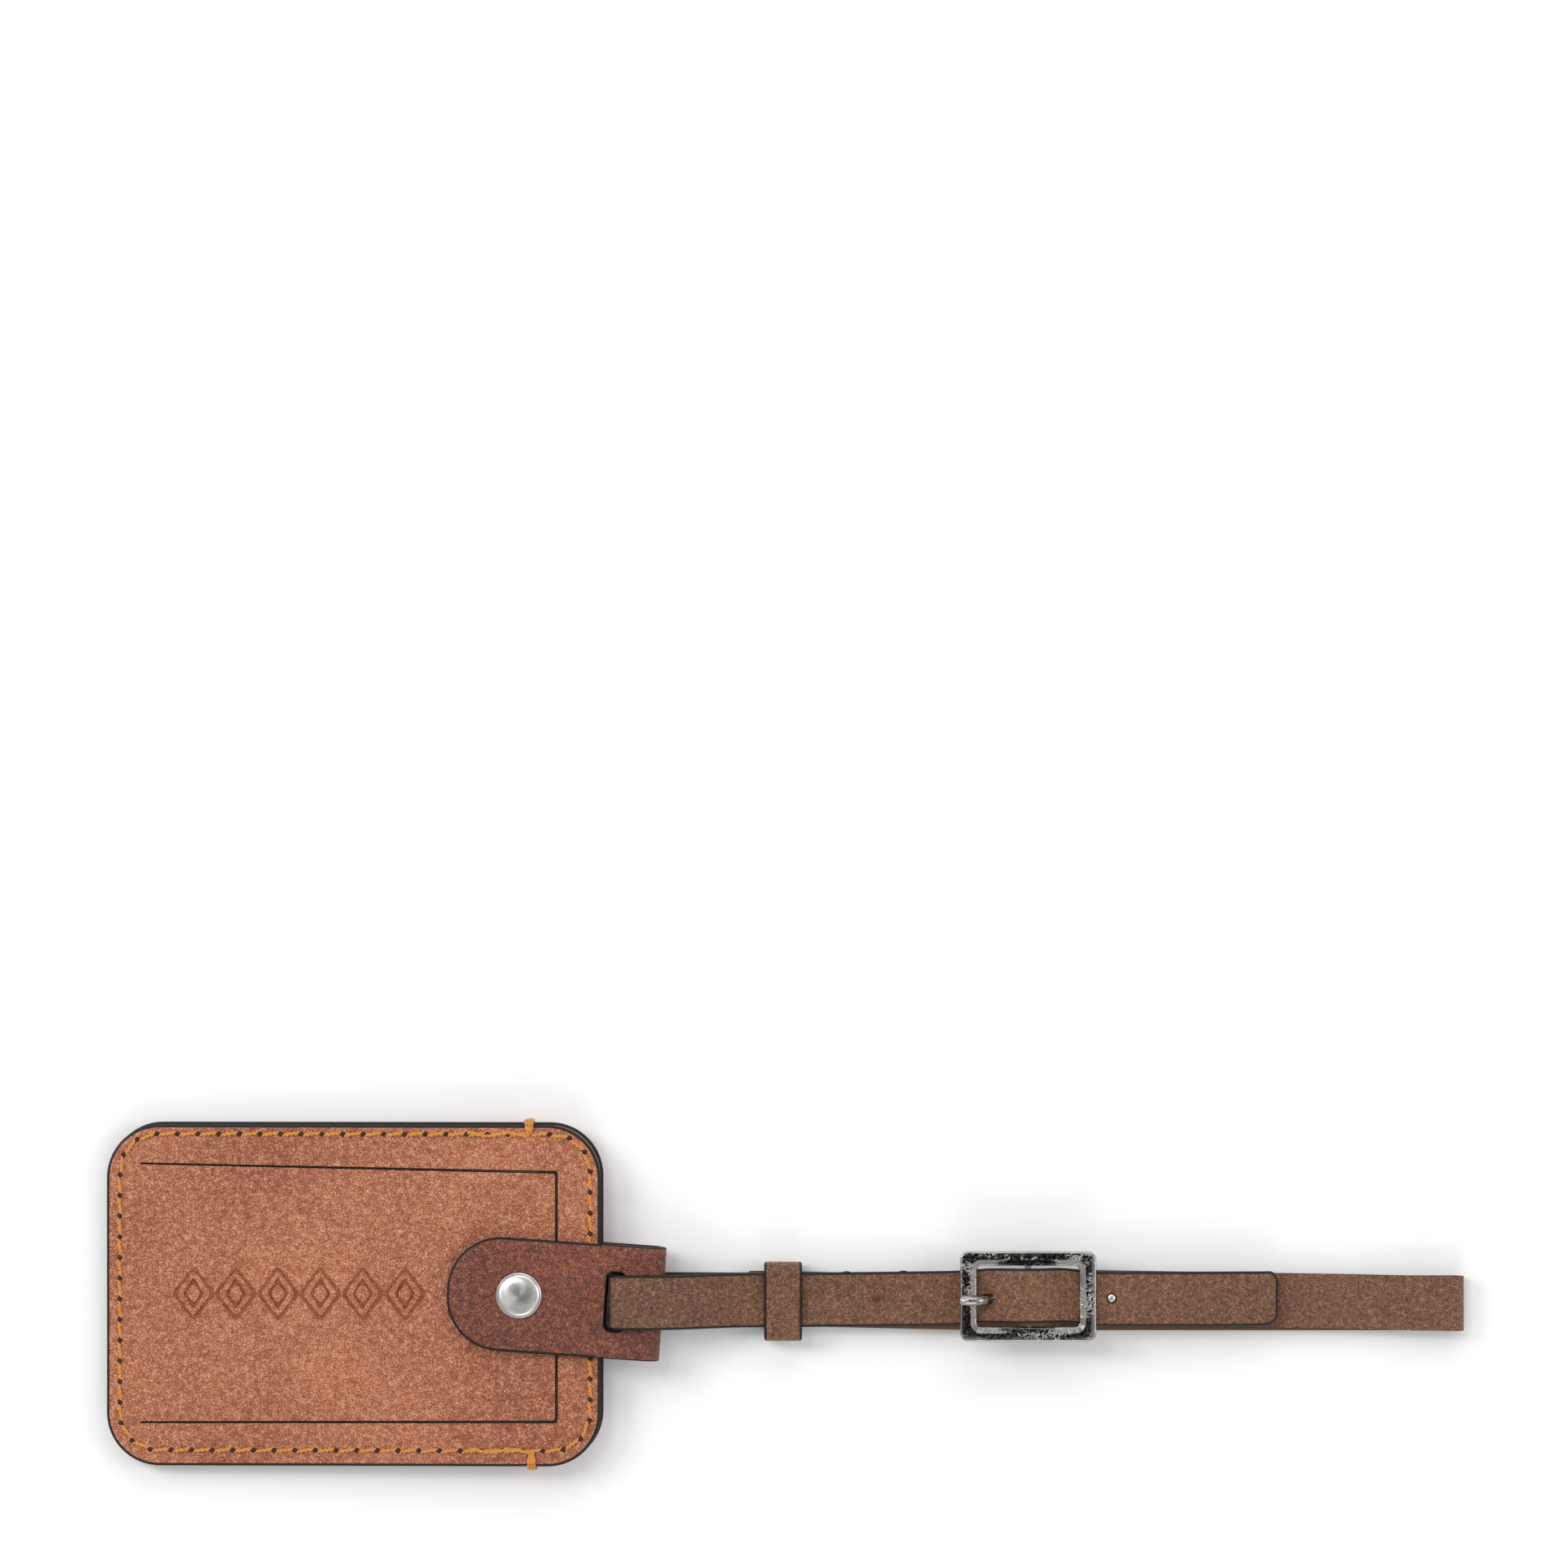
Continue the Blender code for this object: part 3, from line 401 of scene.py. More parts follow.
def hand_over(name, bm, finishes, body, replaced=(), place=None, sharp=38):
    if place:
        bmesh.ops.transform(bm, matrix=place, verts=bm.verts)
    mesh = to_mesh(name, bm)
    for finish in finishes:
        mesh.materials.append(finish)
    mesh.shade_smooth()
    mesh.set_sharp_from_angle(angle=radians(sharp))
    piece = bpy.data.objects.new(name, mesh)
    bpy.context.scene.collection.objects.link(piece)
    if isinstance(body, str):
        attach(piece, body)
    else:
        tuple(body[2])
        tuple(body[3])
        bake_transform(piece)
    if replaced:
        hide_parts(*replaced)
    print(name, "has", len(mesh.polygons), "faces")


def raised(height):
    """A place in the leaning pocket, at a height above the underside of its back."""
    return POCKET @ Matrix.Translation((0.0, 0.0, height))


print("a hide's three finishes:", *(finish.name for finish in TAN_HIDE))

# %% [markdown]
# Leather parts start as a pattern: closed outlines, one outer and any number of holes, filled flat. A
# corner is rounded by bevelling its vertex, and a square one is left alone. Filling outlines avoids
# Boolean cuts, which leave slivers that spoil the rounded edges later.

# %% Outlines
def box_outline(left, right, low, high, radius=0.0):
    corners = [(left, low), (right, low), (right, high), (left, high)]
    return corners, [radius] * 4


def soften(bm, chosen, width, segments, affect="EDGES", clamp=False):
    """Rounds edges or corners, and gives back the new faces."""
    made = bmesh.ops.bevel(
        bm,
        geom=chosen,
        offset=width,
        segments=segments,
        profile=0.5,
        affect=affect,
        material=-1,
        clamp_overlap=clamp,
    )
    return made["faces"]


def outline_edges(bm, corners, radii, segments=8):
    """A closed loop of edges through the corners, each rounded by its own radius."""
    verts = [bm.verts.new((x, y, 0.0)) for x, y in corners]
    bm.faces.new(verts)
    for vert, radius in zip(verts, radii):
        if radius > 0.0:
            soften(bm, [vert], radius, segments, "VERTICES")
    faces = bm.faces[:]
    edges = [edge for face in faces for edge in face.edges]
    bmesh.ops.delete(bm, geom=faces, context="FACES_ONLY")
    return edges


def round_hole(bm, x, y, radius, segments=20):
    spot = Matrix.Translation((x, y, 0.0))
    ring = bmesh.ops.create_circle(bm, segments=segments, radius=radius, matrix=spot)["verts"]
    return list({edge for vert in ring for edge in vert.link_edges})


print("outline helpers ready")

# %% [markdown]
# Then the pattern gets its thickness, and its outer edges get a small round that carries the black
# paint, so that every edge shows as a thin dark line from above, as painted edges do. Where two pieces
# of the same hide meet at a bend, their ends stay square and unpainted, and the joint disappears. The
# pattern is scored beside its holes first: a fan of thin triangles would leave the rounding no room.

# %% Cutting leather
EDGE_ROUND = 0.55 * MM
NEAR_END = 1.6 * MM
SLIT_ROUND = 0.16 * MM
WAVE_HEIGHT, WAVE_LENGTH, WAVE_SEED = 0.16 * MM, 24.0 * MM, 2.0


def score(bm, along, places):
    """Cuts a mesh across at each place, so that it has somewhere to bend."""
    normal = (1.0, 0.0, 0.0) if along == "x" else (0.0, 1.0, 0.0)
    for place in places:
        everything = bm.verts[:] + bm.edges[:] + bm.faces[:]
        point = Vector(normal) * place
        bmesh.ops.bisect_plane(bm, geom=everything, dist=1e-6, plane_co=point, plane_no=normal)


def nowhere(centre):
    return False


def thicken(bm, down):
    """Extrudes a flat face region down. The faces that were there stay on top."""
    made = bmesh.ops.extrude_face_region(bm, geom=bm.faces[:], use_keep_orig=True)["geom"]
    lower = [item for item in made if isinstance(item, bmesh.types.BMVert)]
    bmesh.ops.translate(bm, verts=lower, vec=(0.0, 0.0, -down))
    bmesh.ops.recalc_face_normals(bm, faces=bm.faces)


def cut_leather(
    outer, holes, thick, square=nowhere, edge=EDGE_ROUND, segments=8, slit=nowhere, scores=(), slit_finish=1
):
    """A flat piece of leather, middle at z = 0. Material 0 is the grain, 1 the edge, 2 the flesh side."""
    bm = bmesh.new()
    edges = outline_edges(bm, *outer, segments)
    for hole in holes:
        edges += round_hole(bm, *hole) if len(hole) == 3 else outline_edges(bm, *hole, 5)
    bmesh.ops.triangle_fill(bm, use_beauty=True, use_dissolve=False, edges=edges, normal=(0.0, 0.0, 1.0))
    score(bm, "x", scores)
    for face in bm.faces:
        face.material_index = sum(face.calc_center_median().x > place for place in scores) % 2
    bmesh.ops.dissolve_limit(
        bm, angle_limit=radians(1), verts=bm.verts, edges=bm.edges, delimit={"MATERIAL"}
    )
    bmesh.ops.translate(bm, verts=bm.verts, vec=(0.0, 0.0, thick / 2))
    thicken(bm, thick)
    sides = {face for face in bm.faces if abs(face.normal.z) < 0.5}
    for face in bm.faces:
        middle = face.calc_center_median()
        if face in sides:
            face.material_index = 0 if square(middle) else slit_finish if slit(middle) else 1
        else:
            face.material_index = 0 if face.normal.z > 0 else 2
    rims = {True: [], False: []}
    for rim in bm.edges:
        walls = [face.calc_center_median() for face in rim.link_faces if face in sides]
        if len(walls) == 1 and not square(walls[0]):
            rims[slit(walls[0])].append(rim)
    for narrow, chosen in rims.items():
        if not chosen:
            continue
        for face in soften(bm, chosen, SLIT_ROUND if narrow else edge, 3, clamp=True):
            face.material_index = slit_finish if narrow else 1
    return bm


def spread(start, end, step):
    count = max(int(round(abs(end - start) / step)), 1)
    return [start + (end - start) * i / count for i in range(count + 1)]


def wave_at(x, y):
    """Slow rises and dips of a hide that never lies quite flat."""
    return WAVE_HEIGHT * noise.noise(Vector((x / WAVE_LENGTH, y / WAVE_LENGTH, WAVE_SEED)))


def unlevel(bm):
    for vert in bm.verts:
        vert.co.z += wave_at(vert.co.x, vert.co.y)


print("the wave at the snap, in mm:", round(wave_at(SNAP.x, SNAP.y) / MM, 3))

# %% [markdown]
# The pocket's back panel lies flat. The front has a three-sided window cut for the flap, and a gentle
# wave, so it is scored every few millimetres, or the wave would have no vertices to move. The wave is
# the same function on both sides of the flap's cut, so the flap stays flush with the panel around it.

# %% Pocket panels
PANEL = dict(left=-146.9 * MM, right=-39.9 * MM, low=-37.5 * MM, high=36.3 * MM, radius=11.5 * MM)
PANEL_THICK = 1.3 * MM
PANEL_ROUND = 0.62 * MM
PANEL_STEPS = 20
FRONT_TOP = 3.95 * MM
BACK_SHIFT = 0.5 * MM
CUT = 0.15 * MM
CUT_AT_HINGE = 0.06 * MM
HINGE_X = -139.5 * MM
FLAP_END = -49.4 * MM
FLAP_TOP = (27.9 * MM, 26.1 * MM)
FLAP_LOW = (-28.1 * MM, -27.8 * MM)


def flap_outline(grow, grow_at_hinge, radius):
    corners = [
        (HINGE_X, FLAP_LOW[0] - grow_at_hinge),
        (FLAP_END + grow, FLAP_LOW[1] - grow),
        (FLAP_END + grow, FLAP_TOP[1] + grow),
        (HINGE_X, FLAP_TOP[0] + grow_at_hinge),
    ]
    return corners, [0.0, radius, radius, 0.0]


def at_hinge(centre):
    return abs(centre.x - HINGE_X) < 0.05 * MM and abs(centre.y) < 27.5 * MM


def at_cut(centre):
    return HINGE_X - MM < centre.x < FLAP_END + MM and abs(centre.y) < 29.5 * MM


window = flap_outline(CUT, CUT_AT_HINGE, 0.5 * MM)
front = cut_leather(box_outline(**PANEL), [window], PANEL_THICK, at_hinge, PANEL_ROUND, PANEL_STEPS, at_cut)
score(front, "x", spread(-144.0 * MM, -42.0 * MM, 6.0 * MM))
score(front, "y", spread(-35.0 * MM, 34.0 * MM, 6.0 * MM))
unlevel(front)
front_middle = raised(FRONT_TOP - PANEL_THICK / 2)
hand_over("front_panel_leather", front, TAN_HIDE, "tag", ["front_panel"], front_middle)

shifted = {key: value + (BACK_SHIFT if key != "radius" else 0.0) for key, value in PANEL.items()}
back = cut_leather(box_outline(**shifted), [], PANEL_THICK, nowhere, PANEL_ROUND, PANEL_STEPS)
turn_over = Matrix.Rotation(pi, 4, "X")
bmesh.ops.transform(back, matrix=Matrix.Translation((0, -1.2 * MM, 0)) @ turn_over, verts=back.verts)
bmesh.ops.translate(back, verts=back.verts, vec=(0.0, 2 * BACK_SHIFT, 0.0))
back_middle = raised(PANEL_THICK / 2)
hand_over("back_panel_leather", back, TAN_HIDE, "tag", ["back_panel"], back_middle)

# %% [markdown]
# The flap is the piece that the window was cut from, so it carries on the panel's grain and wave. On the
# tag it is not a hinged door but a bend in the leather. Here it is set in place as cut, and its first few
# millimetres, where it bends from the panel, are scored close together.

# %% Card flap
BEND_LENGTH = 4.0 * MM
STUD_HOLE = 1.3 * MM
flap_bend = [POCKET @ Vector((x, 0.0, FRONT_TOP)) for x in (HINGE_X, HINGE_X + BEND_LENGTH)]
cover = cut_leather(
    flap_outline(-CUT, -CUT_AT_HINGE, 0.6 * MM),
    [(SNAP.x, SNAP.y, STUD_HOLE)],
    PANEL_THICK,
    at_hinge,
    SLIT_ROUND,
    scores=[SNAP.x - 3.0 * MM],
)
score(cover, "x", spread(HINGE_X + 0.4 * MM, HINGE_X + BEND_LENGTH, 0.4 * MM))
score(cover, "x", spread(-132.0 * MM, -54.0 * MM, 6.0 * MM))
score(cover, "y", spread(-23.0 * MM, 22.0 * MM, 6.0 * MM))
unlevel(cover)
flap_rides = ("tag", "flap", *flap_bend)
hand_over("card_flap_leather", cover, TAN_HIDE, flap_rides, ["card_flap"], front_middle)

# %% [markdown]
# A heated die presses a band into the flap: a plain row of lozenges, as a border tool makes. Each one
# is a raised ridge in a darker channel, and the channel's darker colour is painted shade. Both are cut
# with the same function as the leather itself, thin and with a round so wide that no flat is left on the
# ridge.

# %% Pressed border
LOZENGE_COUNT = 6
BAND = (-132.6 * MM, -77.6 * MM)
BAND_Y = -0.2 * MM
HALF_HIGH = 5.4 * MM
LOZENGE_GAP = 0.5 * MM
INNER_SHRINK = 0.52


def lozenge(middle, half_wide, half_high, radius):
    ends_x = [(middle - half_wide, BAND_Y), (middle + half_wide, BAND_Y)]
    ends_y = [(middle, BAND_Y - half_high), (middle, BAND_Y + half_high)]
    return [ends_x[0], ends_y[0], ends_x[1], ends_y[1]], [radius] * 4


def band_of(name, ring_out, ring_in, thick, top, finish, edge):
    band = bmesh.new()
    step = (BAND[1] - BAND[0]) / LOZENGE_COUNT
    for number in range(LOZENGE_COUNT):
        middle = BAND[0] + step * (number + 0.5)
        for grow in (0.0, INNER_SHRINK):
            wide, high = (step / 2 - LOZENGE_GAP) * (1 - grow), HALF_HIGH * (1 - grow)
            outside = lozenge(middle, wide + ring_out, high + ring_out, 0.9 * MM)
            inside = lozenge(middle, wide - ring_in, high - ring_in, 0.4 * MM)
            part = cut_leather(outside, [inside] if grow == 0.0 else [], thick, edge=edge, segments=4)
            mesh = to_mesh(name, part)
            band.from_mesh(mesh)
            bpy.data.meshes.remove(mesh)
    for face in band.faces:
        face.material_index = 0
    unlevel(band)
    hand_over(name, band, (finish,), "flap", (), raised(top - thick / 2), sharp=70)


# The channels are thin dark rings round the ridges: painted shade of the pressed recess.
band_of("pressed_channels", 0.75 * MM, 2.5 * MM, 0.12 * MM, FRONT_TOP + 0.05 * MM, CHANNEL_SHADE, 0.03 * MM)
band_of("pressed_ridges", -0.25 * MM, 1.9 * MM, 0.62 * MM, FRONT_TOP + 0.30 * MM, TAN, 0.28 * MM)

# %% [markdown]
# Inside the pocket lie a blank address card and the clear sheet that keeps it dry. The card has ruled
# lines and no writing. Both are thin sheets cut with the same function, only with sharper edges.

# %% Card and clear sheet
CARD_THICK, SHEET_THICK = 0.25 * MM, 0.2 * MM
CARD_MIDDLE_Z, SHEET_MIDDLE_Z = 1.725 * MM, 2.25 * MM
LINE_COUNT, LINE_STEP, FIRST_LINE = 5, 8.0 * MM, 14.0 * MM
INK_THICK = 0.02 * MM

card = box_outline(-138.0 * MM, -52.4 * MM, -27.6 * MM, 26.4 * MM, 2.0 * MM)
card = cut_leather(card, [], CARD_THICK, edge=0.05 * MM)
in_pocket = raised(CARD_MIDDLE_Z)
hand_over("blank_card", card, (CARD, CARD, CARD), "tag", ["address_card"], in_pocket)

lines = bmesh.new()
for row in range(LINE_COUNT):
    bar = bmesh.ops.create_cube(lines, size=1.0)["verts"]
    bmesh.ops.scale(lines, verts=bar, vec=(66.0 * MM, 0.35 * MM, INK_THICK))
    bmesh.ops.translate(lines, verts=bar, vec=(-95.2 * MM, FIRST_LINE - row * LINE_STEP, 0.0))
soften(lines, lines.edges[:], 0.005 * MM, 1)
on_card = raised(CARD_MIDDLE_Z + CARD_THICK / 2 + INK_THICK / 2)
hand_over("card_ruled_lines", lines, (INK,), "tag", (), on_card)

sheet = box_outline(-143.2 * MM, -44.5 * MM, -32.2 * MM, 31.4 * MM, 3.0 * MM)
sheet = cut_leather(sheet, [], SHEET_THICK, edge=0.04 * MM)
over_card = raised(SHEET_MIDDLE_Z)
hand_over("clear_window", sheet, (CLEAR, CLEAR, CLEAR), "tag", ["window_sheet"], over_card)

# %% [markdown]
# The seam is saddle-slanted lockstitch. One stitch is modelled once: two plies wound round each other
# along a low arch from hole to hole. Each ply is a small ring of edges, extruded step by step along its
# helix. Copies of that one stitch are then set along the seam, each turned a little across it, with a
# flat dark disc between neighbours, painted shade for the awl hole.

# %% One twisted thread
def ring_and_sweep(bm, frames, radius, sides, scales=()):
    """A round end at the first frame, swept from frame to frame and closed at the last."""
    ring = bmesh.ops.create_circle(bm, cap_ends=True, segments=sides, radius=radius, matrix=frames[0])
    edges = list({edge for vert in ring["verts"] for edge in vert.link_edges})
    for number in range(1, len(frames)):
        made = bmesh.ops.extrude_edge_only(bm, edges=edges)["geom"]
        verts = [item for item in made if isinstance(item, bmesh.types.BMVert)]
        edges = [item for item in made if isinstance(item, bmesh.types.BMEdge)]
        grown = Matrix.Scale(scales[number] / scales[number - 1], 4) if scales else Matrix()
        change = frames[number] @ grown @ frames[number - 1].inverted()
        bmesh.ops.transform(bm, matrix=change, verts=verts)
    bmesh.ops.edgeloop_fill(bm, edges=edges)


def heading_at(path, i):
    return (path[min(i + 1, len(path) - 1)] - path[max(i - 1, 0)]).normalized()


def wind(bm, path, radius, turns, sides=6):
    """Lays two twisted plies along a list of points."""
    for phase in (0.0, pi):
        frames = []
        for i, point in enumerate(path):
            ahead = heading_at(path, i)
            side = ahead.cross(Vector((0.0, 0.0, 1.0)))
            side = side.normalized() if side.length > 1e-3 else Vector((1.0, 0.0, 0.0))
            up = side.cross(ahead)
            angle = phase + 2 * pi * turns * i / (len(path) - 1)
            centre = point + (side * cos(angle) + up * sin(angle)) * radius * 0.85
            axes = Matrix((side, up, -ahead)).transposed().to_4x4()
            frames.append(Matrix.Translation(centre) @ axes)
        ring_and_sweep(bm, frames, radius, sides)


THREAD = 0.25 * MM
PITCH = 4.45 * MM
PLY_TURNS = 2.0
TENTHS = [t / 10 for t in range(11)]


def stitch_mesh():
    bm = bmesh.new()
    length = PITCH * 0.84
    path = [Vector((length * (t - 0.5), 0.0, 0.42 * MM * sin(pi * t) ** 0.5 - 0.25 * MM)) for t in TENTHS]
    wind(bm, path, THREAD, PLY_TURNS)
    bmesh.ops.recalc_face_normals(bm, faces=bm.faces)
    return to_mesh("one_stitch", bm)


# A flat dark disc that lies on the leather: painted shade standing in for an awl hole.
def hole_shade_mesh():
    bm = bmesh.new()
    bmesh.ops.create_uvsphere(bm, u_segments=14, v_segments=5, radius=1.0)
    bmesh.ops.scale(bm, verts=bm.verts, vec=(0.62 * MM, 0.60 * MM, 0.09 * MM))
    return to_mesh("one_hole", bm)


stitch, hole = stitch_mesh(), hole_shade_mesh()
print("faces in a stitch and a hole:", len(stitch.polygons), len(hole.polygons))

# %% [markdown]
# The seam's route is a rectangle with round corners, walked in equal steps. The corner arcs and the
# straight runs are laid end to end by length, so that the step never has to know which it is on.

# %% The seam
SLANT = 0.15


def walk(left, right, low, high, radius, step):
    """Places and headings at equal steps round a rounded rectangle, clockwise from its top left."""
    wide, tall, quarter = right - left - 2 * radius, high - low - 2 * radius, radius * pi / 2
    inner_x, inner_y = (left + radius, right - radius), (low + radius, high - radius)
    centres = [(inner_x[1], inner_y[1]), (inner_x[1], inner_y[0])]
    centres += [(inner_x[0], inner_y[0]), (inner_x[0], inner_y[1])]
    starts = [(inner_x[0], high), (right, inner_y[1]), (inner_x[1], low), (left, inner_y[0])]
    runs = []
    for side in range(4):
        heading = -side * pi / 2
        runs.append(("line", starts[side], heading, wide if side % 2 == 0 else tall))
        runs.append(("arc", centres[side], heading, quarter))
    total = sum(run[3] for run in runs)
    count = round(total / step)
    for number in range(count):
        along = total * number / count
        for kind, place, heading, length in runs:
            if along < length:
                break
            along -= length
        if kind == "line":
            yield place[0] + along * cos(heading), place[1] + along * sin(heading), heading
        else:
            turned = heading - along / radius
            yield place[0] - radius * sin(turned), place[1] + radius * cos(turned), turned


def lay(bm, mesh, matrix):
    """Adds a copy of a small mesh at a place."""
    first = len(bm.verts)
    bm.from_mesh(mesh)
    bm.verts.ensure_lookup_table()
    bmesh.ops.transform(bm, matrix=matrix, verts=bm.verts[first:])


def sew(name, route, height, flip, replaced):
    threads, holes = bmesh.new(), bmesh.new()
    places = list(route)
    for number, (x, y, heading) in enumerate(places):
        next_x, next_y, _ = places[(number + 1) % len(places)]
        middle = Vector(((x + next_x) / 2, (y + next_y) / 2, height))
        gap = hypot(next_x - x, next_y - y)
        turn = atan2(next_y - y, next_x - x) + SLANT + 0.05 * noise.noise(Vector((number * 0.7, flip, 0.0)))
        wave = wave_at(middle.x, middle.y) if flip > 0 else 0.0
        stand = Matrix.Translation(middle + Vector((0.0, 0.0, wave))) @ Matrix.Rotation(turn, 4, "Z")
        lay(threads, stitch, stand @ Matrix.Diagonal((gap / PITCH, 1.0, flip, 1.0)))
        # Each hole is a dark disc: painted shade where the awl hole is.
        lay(holes, hole, Matrix.Translation((x, y, height + wave)) @ Matrix.Rotation(heading + 0.5, 4, "Z"))
    bmesh.ops.recalc_face_normals(threads, faces=threads.faces)
    hand_over(name + "_stitches", threads, (GOLD,), "tag", replaced, POCKET, sharp=60)
    hand_over(name + "_holes", holes, (HOLE_SHADE,), "tag", (), POCKET)


route = walk(-144.0 * MM, -42.1 * MM, -34.1 * MM, 34.3 * MM, 8.0 * MM, PITCH)
sew("front_seam", route, FRONT_TOP, 1, ["front_seam_thread"])
route = walk(-143.6 * MM, -41.7 * MM, -33.7 * MM, 34.6 * MM, 8.0 * MM, PITCH)
sew("back_seam", route, 0.0, -1, ["back_seam_thread"])

# %% [markdown]
# Where the open end begins, the seam is locked with a tack: the thread is doubled back over its last
# stitches and carried over the edge of both panels. Each turn is wound along a path that hugs the edge
# from the front seam to the back seam.

# %% Edge tacks
TURNS_OVER_EDGE = ((-0.62 * MM, 0.35 * MM), (0.0, 0.5 * MM), (0.6 * MM, 0.38 * MM))
DOUBLED_BACK = (0.30 * MM, -0.34 * MM, 0.36 * MM)


def tack(name, x, seam_y, edge_y, replaced):
    out = 1.0 if edge_y > seam_y else -1.0
    top, bottom = FRONT_TOP + 0.18 * MM, -0.2 * MM
    bm = bmesh.new()
    for shift, reach in TURNS_OVER_EDGE:
        outside, inside = edge_y + out * reach, edge_y - out * 0.4 * MM
        path = [
            Vector((x + shift * 0.4, seam_y, top - 0.25 * MM)),
            Vector((x + shift * 0.6, seam_y + out * 0.6 * MM, top + 0.2 * MM)),
            Vector((x + shift, inside, top + 0.16 * MM)),
            Vector((x + shift, outside, top - 0.35 * MM)),
            Vector((x + shift * 1.2, outside + out * 0.1 * MM, (top + bottom) / 2)),
            Vector((x + shift, outside, bottom + 0.35 * MM)),
            Vector((x + shift, inside, bottom - 0.16 * MM)),
            Vector((x + shift * 0.4, seam_y, bottom + 0.2 * MM)),
        ]
        fine = [start.lerp(end, t / 3) for start, end in zip(path, path[1:]) for t in range(3)]
        wind(bm, [*fine, path[-1]], THREAD, 4.5)
    for number, shift in enumerate(DOUBLED_BACK):
        start = x - PITCH * (number + 1)
        rise = [FRONT_TOP + 0.45 * MM * sin(pi * t) ** 0.5 - 0.1 * MM for t in TENTHS]
        sway = [seam_y + shift * cos(pi * t) for t in TENTHS]
        path = [Vector((start + PITCH * t, y, z)) for t, y, z in zip(TENTHS, sway, rise)]
        wind(bm, path, THREAD, PLY_TURNS)
    bmesh.ops.recalc_face_normals(bm, faces=bm.faces)
    hand_over(name, bm, (GOLD,), "tag", replaced, POCKET, sharp=60)


tack("top_tack_thread", -55.3 * MM, 34.3 * MM, 36.8 * MM, ["top_edge_tack"])
tack("bottom_tack_thread", -54.8 * MM, -34.1 * MM, -37.5 * MM, ["bottom_edge_tack"])

# %% [markdown]
# The tab and the strap are bent from flat patterns. A bend is a route of points seen from the side: how
# far a vertex lies along the pattern becomes how far it goes along the route, and how far it lies above
# the pattern's middle becomes how far it stands off the route. The pattern keeps its true length, as
# real leather does.

# %% Bending along a route
def arc(x, z, radius, start, end, steps=10):
    turns = [radians(start + (end - start) * i / steps) for i in range(steps + 1)]
    return [(x + radius * cos(turn), z + radius * sin(turn)) for turn in turns]


def ease(start, end, steps=12):
    """A level start, a level end and a smooth rise or fall between them."""
    run, rise = end[0] - start[0], end[1] - start[1]
    shares = [i / steps for i in range(steps + 1)]
    return [(start[0] + run * t, start[1] + rise * (1 - cos(pi * t)) / 2) for t in shares]


def measured(route):
    """The route's points with how far along each one lies, and the way it faces there."""
    points = [Vector((x, 0.0, z)) for x, z in route]
    points = [p for i, p in enumerate(points) if i == 0 or (p - points[i - 1]).length > 1e-6]
    lengths = [0.0]
    for a, b in zip(points, points[1:]):
        lengths.append(lengths[-1] + (b - a).length)
    facing = []
    for i in range(len(points)):
        ahead = points[min(i + 1, len(points) - 1)] - points[max(i - 1, 0)]
        facing.append(Vector((-ahead.z, 0.0, ahead.x)).normalized())
    return points, lengths, facing


def bend(bm, route, side=lambda spot: 0.0):
    points, lengths, facing = measured(route)
    for vert in bm.verts:
        along = min(max(vert.co.x, 0.0), lengths[-1])
        i = next((n for n in range(1, len(lengths)) if lengths[n] >= along - 1e-9), len(lengths) - 1)
        share = (along - lengths[i - 1]) / (lengths[i] - lengths[i - 1])
        spot = points[i - 1].lerp(points[i], share)
        up = facing[i - 1].lerp(facing[i], share).normalized()
        beyond = vert.co.x - along
        ahead = Vector((up.z, 0.0, -up.x))
        vert.co = spot + up * vert.co.z + ahead * beyond + Vector((0.0, vert.co.y + side(spot), 0.0))


def length_of(route):
    return measured(route)[1][-1]


print("bending ready")

# %% [markdown]
# The closure tab is one strip of darker leather, round at both ends, folded round the open end of the
# pocket, with a slot through each leg for the strap. Its front leg has to lift, so it is cut as two
# pieces that meet at the lift line: the rear leg with the fold, and the front leg, which is scored close
# together over its last millimetres and set in place unbent.

# %% Closure tab
TAB_THICK = 1.2 * MM
TAB_HALF = 12.3 * MM
TAB_END = -15.6 * MM
TAB_END_RADIUS = 11.6 * MM
TAB_FOLD = 31.0 * MM
LIFT_LINE = 17.2 * MM
SLOT = (18.75 * MM, 22.7 * MM)
SLOT_HALF = 6.35 * MM
LEG_TOP = 6.05 * MM
REAR_LOW = -1.5 * MM
TAB_STEPS = 20
AT_END = 0.05 * MM
BROWN_HIDE = (TAB_BROWN, EDGE, BROWN_FLESH)


def tab_outline(left, right):
    corners, _ = box_outline(left, right, -TAB_HALF, TAB_HALF)
    return corners, [TAB_END_RADIUS, 0.0, 0.0, TAB_END_RADIUS]


def after(place):
    return lambda centre: centre.x > place - AT_END


def turn_grain(bm):
    """Puts the grain on the other side, so that it ends outside the bend."""
    bmesh.ops.scale(bm, verts=bm.verts, vec=(1.0, 1.0, -1.0))
    bmesh.ops.reverse_faces(bm, faces=bm.faces)


fold_radius = (LEG_TOP - REAR_LOW - TAB_THICK) / 2
fold_x = TAB_FOLD - fold_radius - TAB_THICK / 2
low, high = REAR_LOW + TAB_THICK / 2, LEG_TOP - TAB_THICK / 2
u_turn = arc(fold_x, (low + high) / 2, fold_radius, -90, 90, 20)
fold = [(TAB_END, low), (fold_x, low), *u_turn, (LIFT_LINE, high)]
fold_length = length_of(fold)
rear_slot = (SLOT[0] - TAB_END, SLOT[1] - TAB_END)
front_slot = (fold_length - (SLOT[1] - LIFT_LINE), fold_length - (SLOT[0] - LIFT_LINE))
slots = [box_outline(a, b, -SLOT_HALF, SLOT_HALF, 1.3 * MM) for a, b in (rear_slot, front_slot)]
near_slots = [rear_slot[0] - NEAR_END, rear_slot[1] + NEAR_END]
